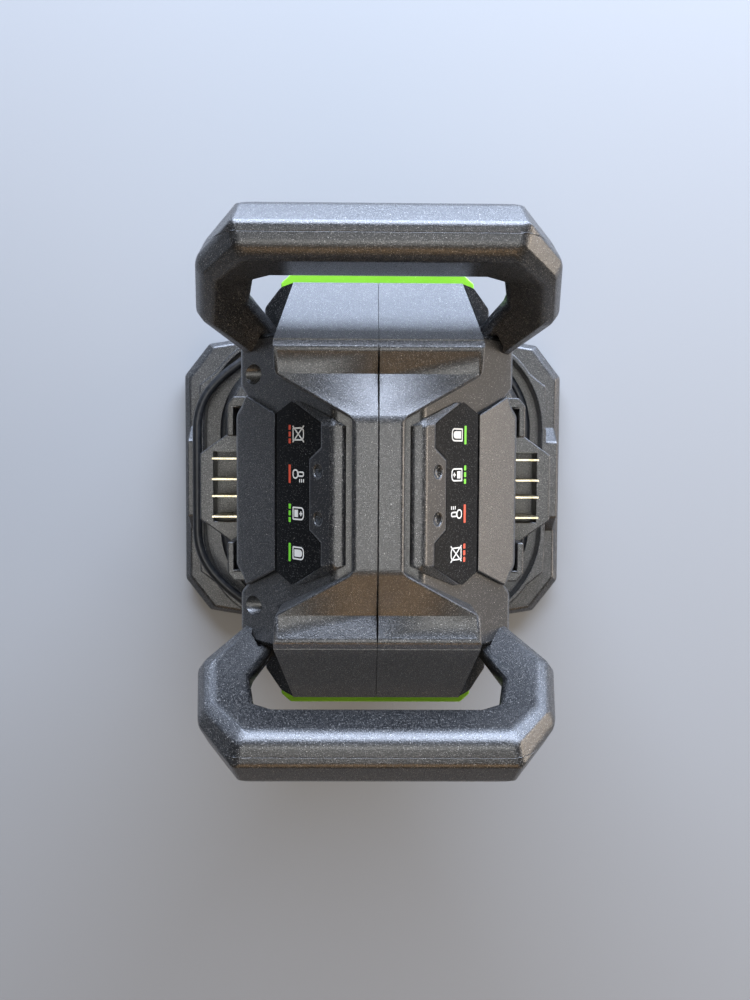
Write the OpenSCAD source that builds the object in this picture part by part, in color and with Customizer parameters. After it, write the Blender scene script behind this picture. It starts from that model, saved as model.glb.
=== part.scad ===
// Twin-port tower battery charger.
// Two clamshell halves stand on a drum that the mains cord is wound on.
// A battery slides down each long side onto four contact blades.
// X runs across the two docks, Y runs from handle to handle, Z is up.
// The origin is the middle of the footprint, on the surface that the feet rest on.

/* [Base] */
// Length of the foot plate, across the two docks
base_length = 298; // [290:1:306]
// Width of the foot plate, from handle to handle
base_width = 234; // [233:1:236]
// Thickness of the foot plate at the floor of the cord trough
base_thickness = 17; // [15:1:19]
// Height of the edge chamfer of the foot plate
base_chamfer = 5; // [3:0.5:6]
// Height of the rubber feet below the foot plate
foot_height = 3; // [2:0.5:4]
// Diameter of a rubber foot
foot_diameter = 24; // [18:1:26]
// Diameter of a base screw's shank
base_screw_d = 5; // [4:0.5:6]

/* [Cord trough] */
// Length of the trough between its outer walls
trough_length = 262; // [260:1:266]
// Width of the trough between its outer walls
trough_width = 225; // [224:1:226]
// Corner radius of the trough's outer wall
trough_radius = 73; // [70:1:76]
// Height of the rim round the trough
rim_height = 14; // [12:1:14]
// Width of the lane between the drum and the trough's outer wall
lane_width = 31; // [30:0.5:32]
// Thickness of the flange at its edge
flange_edge = 8; // [6:1:9]
// Height of the sloping shoulder above the flange
shoulder_height = 20; // [16:1:22]

/* [Mains cord] */
// Diameter of the mains cord
cord_d = 7; // [6.5:0.25:7]
// Number of quarter turns that the cord makes
cord_quarters = 10; // [9:1:10]
// How far the last turn lies outside the trough on the west side
cord_spread = 11; // [8:1:12]

/* [Plug] */
// Length of the moulded plug body
plug_length = 38; // [34:1:42]
// Width of the moulded plug body
plug_width = 20; // [18:1:20]
// Height of the moulded plug body
plug_height = 14; // [12:1:16]
// Length of the plug's blades
plug_blade_length = 16; // [14:1:18]

/* [Tower] */
// Width of the tower across its side walls
tower_width = 152; // [150:1:154]
// Depth of the tower between its end walls
tower_depth = 222; // [220:1:224]
// Height of the tower's spine above the resting surface
tower_top = 303; // [298:1:306]
// Thickness of the housing walls
wall = 3; // [2.4:0.2:3.4]
// Gap that shows as the seam between the two housing halves
seam_gap = 0.3; // [0.1:0.1:0.4]
// Width of the raised centre at its two ends
crown_width = 104; // [100:1:106]
// Width of the spine between the two legend fields
spine_width = 26; // [22:1:28]
// Slope of the side faces, from the horizontal
side_slope = 48; // [46:1:50]
// Height of the upper side flats where they meet the crown's ends
flat_height = 260; // [256:1:262]
// Rise of the legend field above the side flats
field_rise = 4; // [3:0.5:5]

/* [Docks] */
// How far the dock shelf's front edge stands out from the tower's side
shelf_depth = 28.4; // [26:0.2:30]
// Height of the dock shelf
shelf_top = 188; // [184:1:192]
// Height of the solid terminal block under the shelf's top
terminal_depth = 36; // [32:1:40]
// Depth of the recess that the contact blades stand in
recess_depth = 15; // [12:1:18]
// Height of the guide rails above the shelf
rail_height = 34; // [28:1:36]
// Length of a contact blade, away from the tower
blade_length = 15.3; // [14:0.1:16]
// Height of a contact blade above the shelf's recess floor
blade_height = 31; // [28:1:32]
// Thickness of a contact blade
blade_thickness = 1; // [0.8:0.1:1.2]

/* [Handles] */
// Height of the top of a handle
handle_top = 320; // [318:1:324]
// Distance of a handle's outer face from the middle
handle_reach = 141; // [140:1:144]
// Depth of the grip bar
bar_depth = 33; // [30:1:33]
// Height of the grip bar
bar_height = 36; // [32:1:36]
// Length of the straight grip between the corner bends
bar_length = 124; // [118:1:126]
// Thickness of a handle's plastic shells
shell = 3.5; // [3:0.5:4]

/* [Fan] */
// Side of the fan's square frame
fan_side = 60; // [56:1:62]
// Depth of the fan's frame
fan_depth = 20; // [18:1:22]
// Number of fan blades
fan_blades = 7; // [5:1:9]
// Running gap between the rotor and its frame
fan_gap = 0.8; // [0.6:0.1:1]

/* [Hidden] */
$fn = 64;

// Every cut runs past the faces that it opens by this much.
over = 1;
// Colours of the finishes.
black = "#26282b";
lime = "#9be03a";
brass = "#cdb98a";
steel = "#9a9ea3";
rubber = "#1b1c1e";

// Levels of the base, from the resting surface up.
floor_z = foot_height + base_thickness;
rim_z = floor_z + rim_height;
shoulder_z = rim_z + flange_edge;
tower_foot = shoulder_z + shoulder_height;

// The foot plate's north-east corner points, as shares of its half length and half width.
plate_shares = [[0.37, 1], [0.72, 0.937], [0.87, 0.906], [1, 0.692]];
// The raised block's north-east corner points, as shares of the same.
block_shares = [[0.4, 0.93], [0.75, 0.772], [0.903, 0.62]];
// Length of the raised end blocks at their top and at their foot, as shares of the base width.
bump_top_share = 0.25;
bump_foot_share = 0.35;
// Where the feet and the base screws stand, as shares of the half length and half width.
foot_share = 0.78;
base_screw_share = 0.4;
// Wall of the rim, and a screw head's height and its diameter over the shank's.
rim_wall = 4;
screw_head_height = 3;
screw_head_ratio = 2;

// The tower's north-east corner points, as shares of its half width and half depth.
tower_shares = [[0.605, 1], [0.71, 1], [0.842, 0.928], [0.842, 0.793], [1, 0.73],
    [1, 0.52], [0.95, 0.477], [0.975, 0.435], [1.034, 0.378]];
// The legend field's northern points, as shares of the same.
field_shares = [[0.21, 0.313], [0.533, 0.428], [0.71, 0.378], [0.95, 0.477], [0.975, 0.435],
    [1.034, 0.378]];
// The legend plate's northern points, as shares of the same.
legend_shares = [[0.462, 0.164], [0.38, 0.217], [0.38, 0.327],
    [0.587, 0.4315], [0.71, 0.376]];
// The crown's north-east corner points: x as shares of its half width, y of the tower's half depth.
crown_shares = [[0.86, 1], [1, 0.694], [1, 0.545]];
// Where the crown's ridges, creases and spine lie along the tower's half depth.
crest_share = 0.655;
crease_share = 0.545;
spine_share = 0.34;
// How far down the tower's end walls stand plumb, and how far in they come at the foot.
plumb_share = 0.65;
end_foot_share = 0.79;
// Drops from the tower's top to the ridge, the crease and the end walls' upper edge.
ridge_drop = 6;
crease_drop = 12;
panel_drop = 45;
spine_step = 10;
// A fine groove marks the edge between the crown's top and each end panel.
groove_width = 0.8;
groove_depth = 0.7;
// How far the body's roof stays below the crown.
roof_drop = 2.5;
// Reach of the upper side flats along the half depth, and the fins' fall beyond it.
flat_share = 0.766;
fin_fall = 1.75;
fin_step = 1;

half_w = tower_width / 2;
half_d = tower_depth / 2;
drum_length = trough_length - 2 * lane_width;
drum_width = trough_width - 2 * lane_width;
// Clearance between the cord's last turn and the trough's outer wall.
lane_clear = 1;
// The flange reaches out to the clip that holds the plug.
clip_leg = 2.5;
flange_overhang = lane_width - cord_d / 2 - lane_clear - plug_width / 2 - clip_leg;
flange_steps = 8;
// The duct inside the drum, as a share of its half length, and the wall left at its two ends.
duct_share = 0.25;
duct_wall = 9;
slope_rate = tan(side_slope);
plumb_z = tower_foot + (tower_top - tower_foot) * plumb_share;
panel_z = tower_top - panel_drop;

// Trim, screws and bosses of the tower.
trim_height = 16;
trim_depth = 8;
trim_half = 53;
// The trim's slanted ends: where its front starts, and how deep its ends are, as shares.
trim_front_share = 0.9;
trim_end_share = 0.4;
trim_rise = 4;
trim_z = plumb_z + trim_rise;
housing_screw_d = 4;
bore_d = 11;
boss_d = 16;
boss_inner = 44;
screw_reach = 24;
// Places of the four housing screws, as shares of the half depth and of the tower's height.
screw_y_share = 0.575;
upper_screw_share = 0.8;
lower_screw_share = 0.47;
upper_screw_z = tower_top * upper_screw_share;
lower_screw_z = tower_top * lower_screw_share;
handle_screw_d = 5;
handle_screw_length = 18;
head_play = 0.5;

// Cooling slots in the two end walls.
slot_count = 6;
slot_width = 56;
slot_height = 3;
slot_step = 8;
slot_rise = 20;
slot_z = tower_foot + slot_rise;

// Dock shelf and guide rails, as shares of the tower's half depth or in their own sizes.
shelf_shares = [0.378, 0.286, 0.18];
waist_depth = 11.9;
recess_share = 0.19;
recess_front = 19.9;
rail_web = 4.5;
rail_lip = 3.8;
rail_slot = 3;
rail_lip_length = 18;
rail_end_share = 0.28;
blade_inset = 3.2;
blade_shares = [-0.155, -0.0455, 0.0455, 0.155];
dock_screw_d = 4;
dock_screw_length = 12;
dock_screw_rise = 40;
dock_screw_share = 0.272;
dock_screw_z = tower_foot + dock_screw_rise;

// A handle is one ring in a leaning plane. Where it turns: x as shares of the tower's half width,
// the way down as shares of the ring's drop, and its thickness as shares of the bar's.
ring_shares = [[1.025, 0.22, 0.8], [1.09, 0.59, 0.75], [0.85, 1, 0.6]];
// Where the ring ends in the tower, as a share of its half depth.
foot_y_share = 0.761;
// Where the frame and the cover of a handle meet, as a share of the bar's depth.
crest_split_share = 0.465;
// The grip bar's section, as shares of its depth and height.
bar_shares = [[0, 0.14], [0.04, 0.42], [0.1, 0.86], [0.27, 1], [0.6, 1], [1, 0.61],
    [1, 0.33], [0.79, 0.06], [0.24, 0]];

// Boards and parts inside.
board_thickness = 1.6;
board_y = -20;
board_height = 140;
light_d = 6.4;
light_share = 0.108;
light_x_share = 0.4;
light_x = half_w * light_x_share;
light_length = 9;
light_recess = 1.2;
light_board_length = 40;
light_board_width = 12;
// The legend plate, the pocket that it lies in and the play round it.
plate_thickness = 0.8;
pocket_depth = 1.4;
plate_play = 0.3;
// Rise of the transformer above the floor, of the heat sink above it, and of the fuse.
core_rise = 20;
sink_gap = 14;
fuse_rise = 30;
fuse_length = 22;

// Fan.
fan_y = 62;
hub_share = 0.4;
bore_share = 0.93;
shaft_d = 3;
shaft_play = 0.05;
blade_twist = 38;
blade_root_share = 0.4;

function turned_quarter(q) = [for (i = [len(q) - 1:-1:0]) [q[i].x, -q[i].y]];
// A closed outline from its north-east quarter, clockwise from the north.
function four_quarters(q) = concat(q, turned_quarter(q), [for (p = q) -p], -turned_quarter(q));
// A closed outline from its northern half, on the east side.
function two_halves(q) = concat(q, turned_quarter(q));
function stretched(shares, x, y) = [for (s = shares) [s.x * x, s.y * y]];
// A rectangle with round corners, clockwise, with the given steps to a corner.
function round_outline(a, b, r, steps) = [
    for (k = [0:3]) for (i = [0:steps])
        let (turn = 90 - 90 * k - 90 * i / steps)
        let (cx = (k == 0 || k == 1) ? a - r : r - a)
        let (cy = (k == 0 || k == 3) ? b - r : r - b)
        [cx + r * cos(turn), cy + r * sin(turn)]];

// A solid through outlines of equally many points: each section is an outline and its height.
module loft(sections) {
    n = len(sections[0][0]);
    top = len(sections) - 1;
    polyhedron(
        points = [for (s = sections) for (p = s[0]) [p.x, p.y, s[1]]],
        faces = concat(
            [[for (i = [n - 1:-1:0]) i]],
            [[for (i = [0:n - 1]) top * n + i]],
            [for (k = [0:top - 1]) for (i = [0:n - 1])
                each let (j = (i + 1) % n)
                [[k * n + i, k * n + j, (k + 1) * n + j],
                [k * n + i, (k + 1) * n + j, (k + 1) * n + i]]]));
}

module round_block(a, b, r, h) {
    translate([-a, r - b, 0]) cube([2 * a, 2 * (b - r), h]);
    translate([r - a, -b, 0]) cube([2 * (a - r), 2 * b, h]);
    four_ways(a - r, b - r) cylinder(r = r, h = h);
}

module four_ways(x, y) {
    for (sx = [-1, 1]) {
        for (sy = [-1, 1]) translate([sx * x, sy * y, 0]) children();
    }
}

// Draws a child on the east side, and its mirror image on the west side.
module both_sides() {
    children();
    mirror([1, 0, 0]) children();
}

module side(which) {
    if (which < 0) mirror([1, 0, 0]) children();
    else children();
}

// Lays a drawing of x and z into the XZ plane, or of y and z into the YZ plane, and thickens it.
module along_y(length) {
    rotate([90, 0, 0]) linear_extrude(length, center = true) children();
}

module along_x(length) {
    rotate([90, 0, 90]) linear_extrude(length, center = true) children();
}

// Base

base_outline = four_quarters(stretched(plate_shares, base_length / 2, base_width / 2));
block_outline = four_quarters(stretched(block_shares, base_length / 2, base_width / 2));

module base_plate() color(black) {
    inner = (base_length / 2 - base_chamfer) / (base_length / 2);
    top_outline = [for (p = base_outline) p * inner];
    difference() {
        union() {
            loft([[base_outline, foot_height], [base_outline, floor_z - base_chamfer],
                [top_outline, floor_z]]);
            difference() {
                rim_solid();
                translate([0, 0, floor_z])
                    round_block(trough_length / 2, trough_width / 2, trough_radius, rim_height + over);
            }
        }
        base_screw_places() translate([0, 0, foot_height - over])
            cylinder(d = base_screw_d, h = base_thickness + 2 * over);
        base_screw_places() translate([0, 0, foot_height - over])
            cylinder(d = base_screw_d * screw_head_ratio, h = screw_head_height + over);
    }
}

module rim_solid() {
    reach = base_length / 2 - base_chamfer;
    inner_reach = base_length / 2 * block_shares[2].x - over;
    translate([0, 0, floor_z]) {
        round_block(trough_length / 2 + rim_wall, trough_width / 2 + rim_wall,
            trough_radius + rim_wall, rim_height);
        linear_extrude(rim_height) polygon(block_outline);
    }
    for (s = [-1, 1]) translate([s * (reach + inner_reach) / 2, 0, floor_z])
        along_x(reach - inner_reach) end_block_outline();
}

module end_block_outline() {
    foot = base_width * bump_foot_share / 2;
    top = base_width * bump_top_share / 2;
    polygon([[-foot, 0], [foot, 0], [top, rim_height], [-top, rim_height]]);
}

module base_screw_places() {
    four_ways(base_length / 2 * base_screw_share, base_width / 2 * base_screw_share) children();
}

module base_feet() color(rubber)
    four_ways(base_length / 2 * foot_share, base_width / 2 * foot_share * foot_share)
        cylinder(d = foot_diameter, h = foot_height);

module base_screws() color(steel) base_screw_places() translate([0, 0, foot_height]) {
    cylinder(d = base_screw_d * screw_head_ratio, h = screw_head_height);
    cylinder(d = base_screw_d, h = tower_foot + wall - foot_height);
}

// Drum with the flange that keeps the cord down

module cord_drum() color(black) {
    a = drum_length / 2;
    b = drum_width / 2;
    r = trough_radius / 2;
    f = flange_overhang;
    difference() {
        union() {
            translate([0, 0, floor_z]) round_block(a, b, r, rim_height);
            loft([[round_outline(a + f, b + f, r + f, flange_steps), rim_z],
                [round_outline(a + f, b + f, r + f, flange_steps), shoulder_z],
                [round_outline(a + f / 2, b + f / 2, r + f / 2, flange_steps), tower_foot]]);
        }
        base_screw_places() translate([0, 0, floor_z - over])
            cylinder(d = base_screw_d, h = tower_foot - floor_z + 2 * over);
        translate([0, 0, floor_z - over])
            round_block(a * duct_share, b - duct_wall, wall, tower_foot - floor_z - wall + over);
    }
}

// Cord, wound in one layer from the drum's north side to the plug on the south side

lane_r = trough_radius - rim_wall;
lane_a = trough_length / 2 - cord_d / 2 - lane_clear;
lane_b = trough_width / 2 - cord_d / 2 - lane_clear;
// What is left of the lane beside the winding.
cord_play = 3.5;
wound_in = lane_width - cord_d - cord_play;
steps_per_quarter = 5;
cord_sides = 8;
// Clearance below the winding, and below the part of the last turn that lies on the rim.
lane_play = 0.35;
lift_play = 0.5;
lane_z = floor_z + cord_d / 2 + lane_play;
lift_z = rim_z + cord_d / 2 + lift_play;
// Quarter turns before the end at which the cord lifts out and spreads, and how long each takes.
lift_start = 2.6;
lift_run = 0.8;
spread_start = 1.8;
spread_run = 0.6;
return_run = 0.8;
plug_z = rim_z + plug_height / 2;
gland_face = 4;
gland_d = cord_d + wall / 2;
gland_z = floor_z + gland_d / 2;
plug_tail = 2;
plug_blade_thickness = 1.5;
plug_blade_width = 6.3;
plug_blade_spread = 12.7;
clip_width = 10;
clip_reach_share = 0.7;
// The strain relief's sleeve, and the block by which it stands on the drum.
sleeve_length = 20;
sleeve_block = 12;
// The plug's round neck, as a share of the plug's length.
neck_share = 0.34;
neck_length = plug_length * neck_share;

function eased(t) = let (u = min(1, max(0, t))) u * u * (3 - 2 * u);
// How far the cord has lifted or spread, from 0 to 1, with some quarter turns left to the end.
function lift_at(left) = eased((lift_start - left) / lift_run);
function spread_at(left) = eased((spread_start - left) / spread_run) * eased(left / return_run);
function lane_centre(k) = [(k % 4 == 0 || k % 4 == 1) ? lane_r - lane_a : lane_a - lane_r,
    (k % 4 == 0 || k % 4 == 3) ? lane_b - lane_r : lane_r - lane_b];
wound_points = [for (k = [0:cord_quarters - 1]) for (i = [0:steps_per_quarter])
    let (left = cord_quarters - k - i / steps_per_quarter)
    let (turn = 90 + 90 * (k + i / steps_per_quarter))
    let (r = lane_r - wound_in * left / cord_quarters)
    let (out = cord_spread * spread_at(left) * abs(cos(turn)))
    let (c = lane_centre(k))
    [c.x + (r + out) * cos(turn), c.y + r * sin(turn),
        lane_z + (lift_z - lane_z) * lift_at(left) + (plug_z - lift_z) * eased(1 - left)]];
first_y = lane_b - wound_in;
last_y = (cord_quarters % 4 == 2) ? -lane_b : 0;
cord_path = concat(
    [[gland_face, first_y, gland_z], [gland_face - cord_d, first_y, gland_z]],
    wound_points,
    [[-plug_tail - cord_d, last_y, plug_z], [-plug_tail, last_y, plug_z]]);

function unit(v) = v / norm(v);
function path_length(p) = [for (i = 0, s = 0; i < len(p);
    s = s + (i + 1 < len(p) ? norm(p[i + 1] - p[i]) : 0), i = i + 1) s][len(p) - 1];
// Distance from a point to the stretch between two others.
function off_line(p, a, b) = let (t = min(1, max(0, (p - a) * (b - a) / ((b - a) * (b - a)))))
    norm(p - a - t * (b - a));
turn_rings = 4 * (steps_per_quarter + 1);
least_gap = min([for (i = [0:len(cord_path) - 1]) for (j = [0:len(cord_path) - 2])
    if (abs(i - j) > turn_rings / 2) off_line(cord_path[i], cord_path[j], cord_path[j + 1])]) - cord_d;
echo(cord_length = path_length(cord_path), least_gap = least_gap);

// One unbroken tube along a path, with rings square to the mean direction at each point.
module tube(path, d, sides) {
    last = len(path) - 1;
    ways = [for (i = [0:last]) unit((i < last ? unit(path[i + 1] - path[i]) : [0, 0, 0])
        + (i > 0 ? unit(path[i] - path[i - 1]) : [0, 0, 0]))];
    rings = [for (i = [0:last]) let (w = ways[i]) let (across = unit(cross(w, [0, 0, 1])))
        let (rise = cross(across, w))
        for (k = [0:sides - 1])
            path[i] + d / 2 * (across * cos(360 * k / sides) + rise * sin(360 * k / sides))];
    polyhedron(points = rings, faces = concat(
        [[for (k = [sides - 1:-1:0]) k]],
        [[for (k = [0:sides - 1]) last * sides + k]],
        [for (i = [0:last - 1]) for (k = [0:sides - 1]) each
            let (n = (k + 1) % sides)
            [[i * sides + k, (i + 1) * sides + n, (i + 1) * sides + k],
            [i * sides + k, i * sides + n, (i + 1) * sides + n]]]));
}

module power_cord() color(rubber) tube(cord_path, cord_d, cord_sides);

module strain_relief() color(rubber) {
    deep = first_y - drum_width / 2;
    translate([gland_face, first_y, gland_z]) rotate([0, 90, 0])
        cylinder(d = gland_d, h = sleeve_length);
    translate([gland_face + sleeve_length - sleeve_block, drum_width / 2, floor_z])
        cube([sleeve_block, deep + gland_d / 2, gland_d]);
}

module power_plug() color(rubber) {
    translate([-plug_tail, last_y, plug_z]) rotate([0, 90, 0])
        cylinder(d = cord_d + wall, h = neck_length);
    translate([neck_length - plug_tail, last_y - plug_width / 2, plug_z - plug_height / 2])
        cube([plug_length - neck_length, plug_width, plug_height]);
}

module plug_blades() color(brass) {
    blade = [plug_blade_length, plug_blade_thickness, plug_blade_width];
    for (s = [-1, 1])
        translate([plug_length - plug_tail, last_y + s * plug_blade_spread / 2 - blade.y / 2,
            plug_z - blade.z / 2])
            cube(blade);
}

module plug_clip() color(black) {
    translate([plug_length / 2, last_y + plug_width / 2, rim_z])
        cube([clip_width, clip_leg, plug_height + clip_leg]);
    translate([plug_length / 2, last_y + plug_width / 2 - plug_width * clip_reach_share,
        rim_z + plug_height])
        cube([clip_width, plug_width * clip_reach_share, clip_leg]);
}

// Tower

tower_outline = four_quarters(stretched(tower_shares, half_w, half_d));
crown_outline = four_quarters(concat(stretched(crown_shares, crown_width / 2, half_d),
    [[spine_width / 2, spine_share * half_d]]));
wall_x = half_w * tower_shares[8].x;
field_top = tower_top - spine_step + wall;
function field_z(x) = flat_height + field_rise - slope_rate * (x - crown_width / 2);

module end_profile() {
    polygon([[-half_d * end_foot_share, tower_foot], [-half_d, plumb_z], [-half_d, tower_top],
        [half_d, tower_top], [half_d, plumb_z], [half_d * end_foot_share, tower_foot]]);
}

// A roof with a level middle whose two sides fall at one rate from a given point.
module roof_profile(x, z, fall, cap, drop) {
    far = tower_width;
    down = drop * sqrt(1 + fall * fall);
    edge = x - (cap - z) / fall - (down - drop) / fall;
    low = z - down - fall * (far - x);
    polygon([[-far, 0], [-far, low], [-edge, cap - drop], [edge, cap - drop], [far, low], [far, 0]]);
}

// The crown seen from the side, down to a given height.
module crown_profile(base) {
    crest = half_d * crown_shares[1].y;
    ridge = half_d * crest_share;
    crease = half_d * crease_share;
    spine = half_d * spine_share;
    side = [[half_d, base], [half_d, panel_z], [crest, tower_top - ridge_drop - wall],
        [ridge, tower_top - ridge_drop], [crease, tower_top - crease_drop], [spine, tower_top]];
    polygon(concat(side, [for (i = [len(side) - 1:-1:0]) [-side[i].x, side[i].y]]));
}

// The tower's outer form, or with an inset the hollow inside its walls.
module tower_solid(inset) {
    intersection() {
        translate([0, 0, tower_foot + inset]) linear_extrude(tower_top)
            offset(delta = -inset) polygon(tower_outline);
        along_x(2 * tower_width) offset(delta = -inset) end_profile();
        union() {
            intersection() {
                along_y(2 * half_d * flat_share - 2 * inset)
                    roof_profile(crown_width / 2, flat_height, slope_rate, tower_top - spine_step, inset);
                along_x(2 * tower_width) offset(delta = -inset - roof_drop) crown_profile(0);
            }
            along_y(2 * tower_depth)
                roof_profile(crown_width / 2 * crown_shares[0].x, panel_z - fin_step, fin_fall,
                    panel_z - fin_step, inset);
        }
    }
    intersection() {
        linear_extrude(2 * tower_top) offset(delta = -inset) polygon(crown_outline);
        along_x(2 * tower_width) offset(delta = -inset) crown_profile(flat_height - panel_drop);
    }
}

module legend_field() {
    far = tower_width;
    difference() {
        intersection() {
            translate([0, 0, plumb_z]) linear_extrude(tower_top)
                polygon(two_halves(stretched(field_shares, half_w, half_d)));
            along_y(tower_depth) polygon([[0, 0], [far, 0], [far, field_z(far)],
                [crown_width / 2 - (field_top - flat_height - field_rise) / slope_rate, field_top],
                [0, field_top]]);
        }
        legend_layer(plate_play, -pocket_depth, tower_width);
    }
}

// The legend's outline, grown by some play, between two heights square to the field.
module legend_layer(play, low, high) {
    far = tower_width;
    bottom = low / cos(side_slope);
    top = high / cos(side_slope);
    intersection() {
        translate([0, 0, plumb_z]) linear_extrude(tower_top)
            offset(delta = play) polygon(two_halves(stretched(legend_shares, half_w, half_d)));
        along_y(tower_depth) polygon([[0, field_z(0) + bottom], [0, field_z(0) + top],
            [far, field_z(far) + top], [far, field_z(far) + bottom]]);
    }
}

// The frame whose Z axis stands square on the legend field, at a light's place.
module on_field(y) {
    translate([light_x, y, field_z(light_x)]) rotate([0, side_slope, 0]) children();
}

module light_places() {
    for (s = [-1, 1]) on_field(s * half_d * light_share) translate([0, 0, -light_length]) children();
}

module housing_screw_places() {
    for (y = [-1, 1]) {
        for (z = [lower_screw_z, upper_screw_z])
            translate([0, y * half_d * screw_y_share, z]) rotate([0, -90, 0]) children();
    }
}

module bosses() {
    housing_screw_places() cylinder(d = boss_d, h = 2 * tower_width, center = true);
}

module slots() {
    for (i = [0:slot_count - 1]) translate([0, 0, slot_z + i * slot_step + slot_height / 2])
        cube([slot_width, 2 * tower_depth, slot_height], center = true);
}

module grooves() {
    for (s = [-1, 1])
        translate([-half_w, s * half_d * crown_shares[1].y - groove_width / 2,
            tower_top - ridge_drop - wall - groove_depth])
            cube([tower_width, groove_width, tower_depth]);
}

module handle_screw_places() {
    for (sx = [-1, 1]) {
        for (sy = [0, 1])
            rotate([0, 0, 180 * sy]) translate([sx * handle_screw_x, half_d * crest_share + wall,
                foot_z - handle_screw_d]) rotate([-90, 0, 0]) children();
    }
}

module dock_screw_places() {
    for (s = [-1, 1]) translate([wall_x - wall, s * half_d * dock_screw_share, dock_screw_z])
        rotate([0, 90, 0]) children();
}

module housing_shell() {
    difference() {
        union() {
            tower_solid(0);
            both_sides() legend_field();
        }
        difference() {
            tower_solid(wall);
            bosses();
        }
        slots();
        grooves();
        base_screw_places() translate([0, 0, tower_foot - over])
            cylinder(d = base_screw_d, h = wall + 2 * over);
        both_sides() {
            light_places() translate([0, 0, -over]) cylinder(d = light_d, h = light_length + 2 * over);
            dock_screw_places() translate([0, 0, -over]) cylinder(d = dock_screw_d, h = wall + 2 * over);
        }
        handle_screw_places() cylinder(d = handle_screw_d, h = handle_screw_length);
    }
}

module half_space(s) {
    long = 2 * tower_top;
    translate([s > 0 ? seam_gap / 2 : -long - seam_gap / 2, -long / 2, 0]) cube(long);
}

module right_housing() color(black) difference() {
    intersection() {
        housing_shell();
        half_space(1);
    }
    housing_screw_places() translate([0, 0, -screw_reach]) cylinder(d = housing_screw_d, h = tower_width / 2);
}

module left_housing() color(black) difference() {
    intersection() {
        housing_shell();
        half_space(-1);
    }
    housing_screw_places() cylinder(d = housing_screw_d, h = tower_width / 2);
    housing_screw_places() translate([0, 0, boss_inner]) cylinder(d = bore_d, h = tower_width);
}

module housing_screws() color(steel) housing_screw_places() {
    translate([0, 0, -screw_reach]) cylinder(d = housing_screw_d, h = screw_reach + boss_inner);
    translate([0, 0, boss_inner])
        cylinder(d = housing_screw_d * screw_head_ratio, h = screw_head_height);
}

module trim() {
    wide = trim_half * trim_front_share;
    translate([0, 0, trim_z]) linear_extrude(trim_height)
        polygon([[-trim_half, half_d], [-trim_half, half_d + trim_depth * trim_end_share],
            [-wide, half_d + trim_depth], [wide, half_d + trim_depth],
            [trim_half, half_d + trim_depth * trim_end_share], [trim_half, half_d]]);
}

module north_trim() color(lime) trim();
module south_trim() color(lime) rotate([0, 0, 180]) trim();

// Handles

bar_y = handle_reach - bar_depth / 2;
bar_z = handle_top - bar_height / 2;
foot_y = half_d * foot_y_share;
foot_z = flat_height - slope_rate * (half_w - crown_width / 2);
handle_screw_x = half_w - wall - screw_head_ratio * handle_screw_d / 2 - head_play;
ring_drop = norm([bar_y - foot_y, bar_z - foot_z]);
ring_lean = atan2(bar_y - foot_y, bar_z - foot_z);
// The ring's turning points on the east side, from the bar's end to the foot, in its own plane.
ring_path = concat([[bar_length / 2, 0]],
    [for (s = ring_shares) [s[0] * half_w, -s[1] * ring_drop]]);
ring_sizes = concat([1], [for (s = ring_shares) s[2]]);
// The bar's section from its centre: outwards in the ring's plane, and square to that plane.
bar_outline = [for (s = bar_shares)
    [s.x * bar_depth - bar_depth / 2, s.y * bar_height - bar_height / 2]];
ring_section = [for (p = bar_outline) [p.x * sin(ring_lean) + p.y * cos(ring_lean),
    p.x * cos(ring_lean) - p.y * sin(ring_lean)]];

// Direction of the ring's run before a turning point, and its mean direction at that point.
function run_turn(i) = (i == 0) ? 0
    : let (k = min(i, len(ring_path) - 1), d = ring_path[k] - ring_path[k - 1]) atan2(-d.y, d.x);
function mean_turn(i) = (run_turn(i) + run_turn(i + 1)) / 2;
// The ring's section at a turning point, cut along the mitre between its two runs.
function ring_at(i) = [for (p = ring_section)
    let (turn = mean_turn(i), out = p.x * ring_sizes[i] / cos(run_turn(i + 1) - turn))
    let (x = ring_path[i].x + out * sin(turn), w = ring_path[i].y + out * cos(turn))
    let (m = p.y * ring_sizes[i])
    [x, bar_y + w * sin(ring_lean) + m * cos(ring_lean), bar_z + w * cos(ring_lean) - m * sin(ring_lean)]];

module bar_section() {
    translate([bar_y, bar_z]) polygon(bar_outline);
}

// The whole ring as one solid, from its west foot over the bar to its east foot.
module handle_ring() {
    n = len(ring_section);
    last = 2 * len(ring_path) - 1;
    east = [for (i = [0:len(ring_path) - 1]) ring_at(i)];
    rings = concat([for (i = [len(east) - 1:-1:0]) [for (p = east[i]) [-p.x, p.y, p.z]]], east);
    polyhedron(
        points = [for (r = rings) each r],
        faces = concat(
            [[for (i = [n - 1:-1:0]) i]],
            [[for (i = [0:n - 1]) last * n + i]],
            [for (k = [0:last - 1]) for (i = [0:n - 1])
                each let (j = (i + 1) % n)
                [[k * n + i, k * n + j, (k + 1) * n + j],
                [k * n + i, (k + 1) * n + j, (k + 1) * n + i]]]));
}

module handle_solid() {
    difference() {
        handle_ring();
        tower_solid(0);
        along_x(bar_length) offset(delta = -shell) bar_section();
        handle_screw_places() cylinder(d = handle_screw_d, h = handle_screw_length);
    }
}

split_y = handle_reach - bar_depth * (1 - crest_split_share);

module handle_part(from_y) {
    intersection() {
        handle_solid();
        translate([-tower_width, from_y, 0]) cube([2 * tower_width, tower_width, 2 * tower_top]);
    }
}

module handle_frame() {
    handle_part(split_y - tower_width);
}

module handle_cover() {
    handle_part(split_y);
}

module north_handle_frame() color(black) handle_frame();
module north_handle_cover() color(black) handle_cover();
module south_handle_frame() color(black) rotate([0, 0, 180]) handle_frame();
module south_handle_cover() color(black) rotate([0, 0, 180]) handle_cover();

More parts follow.
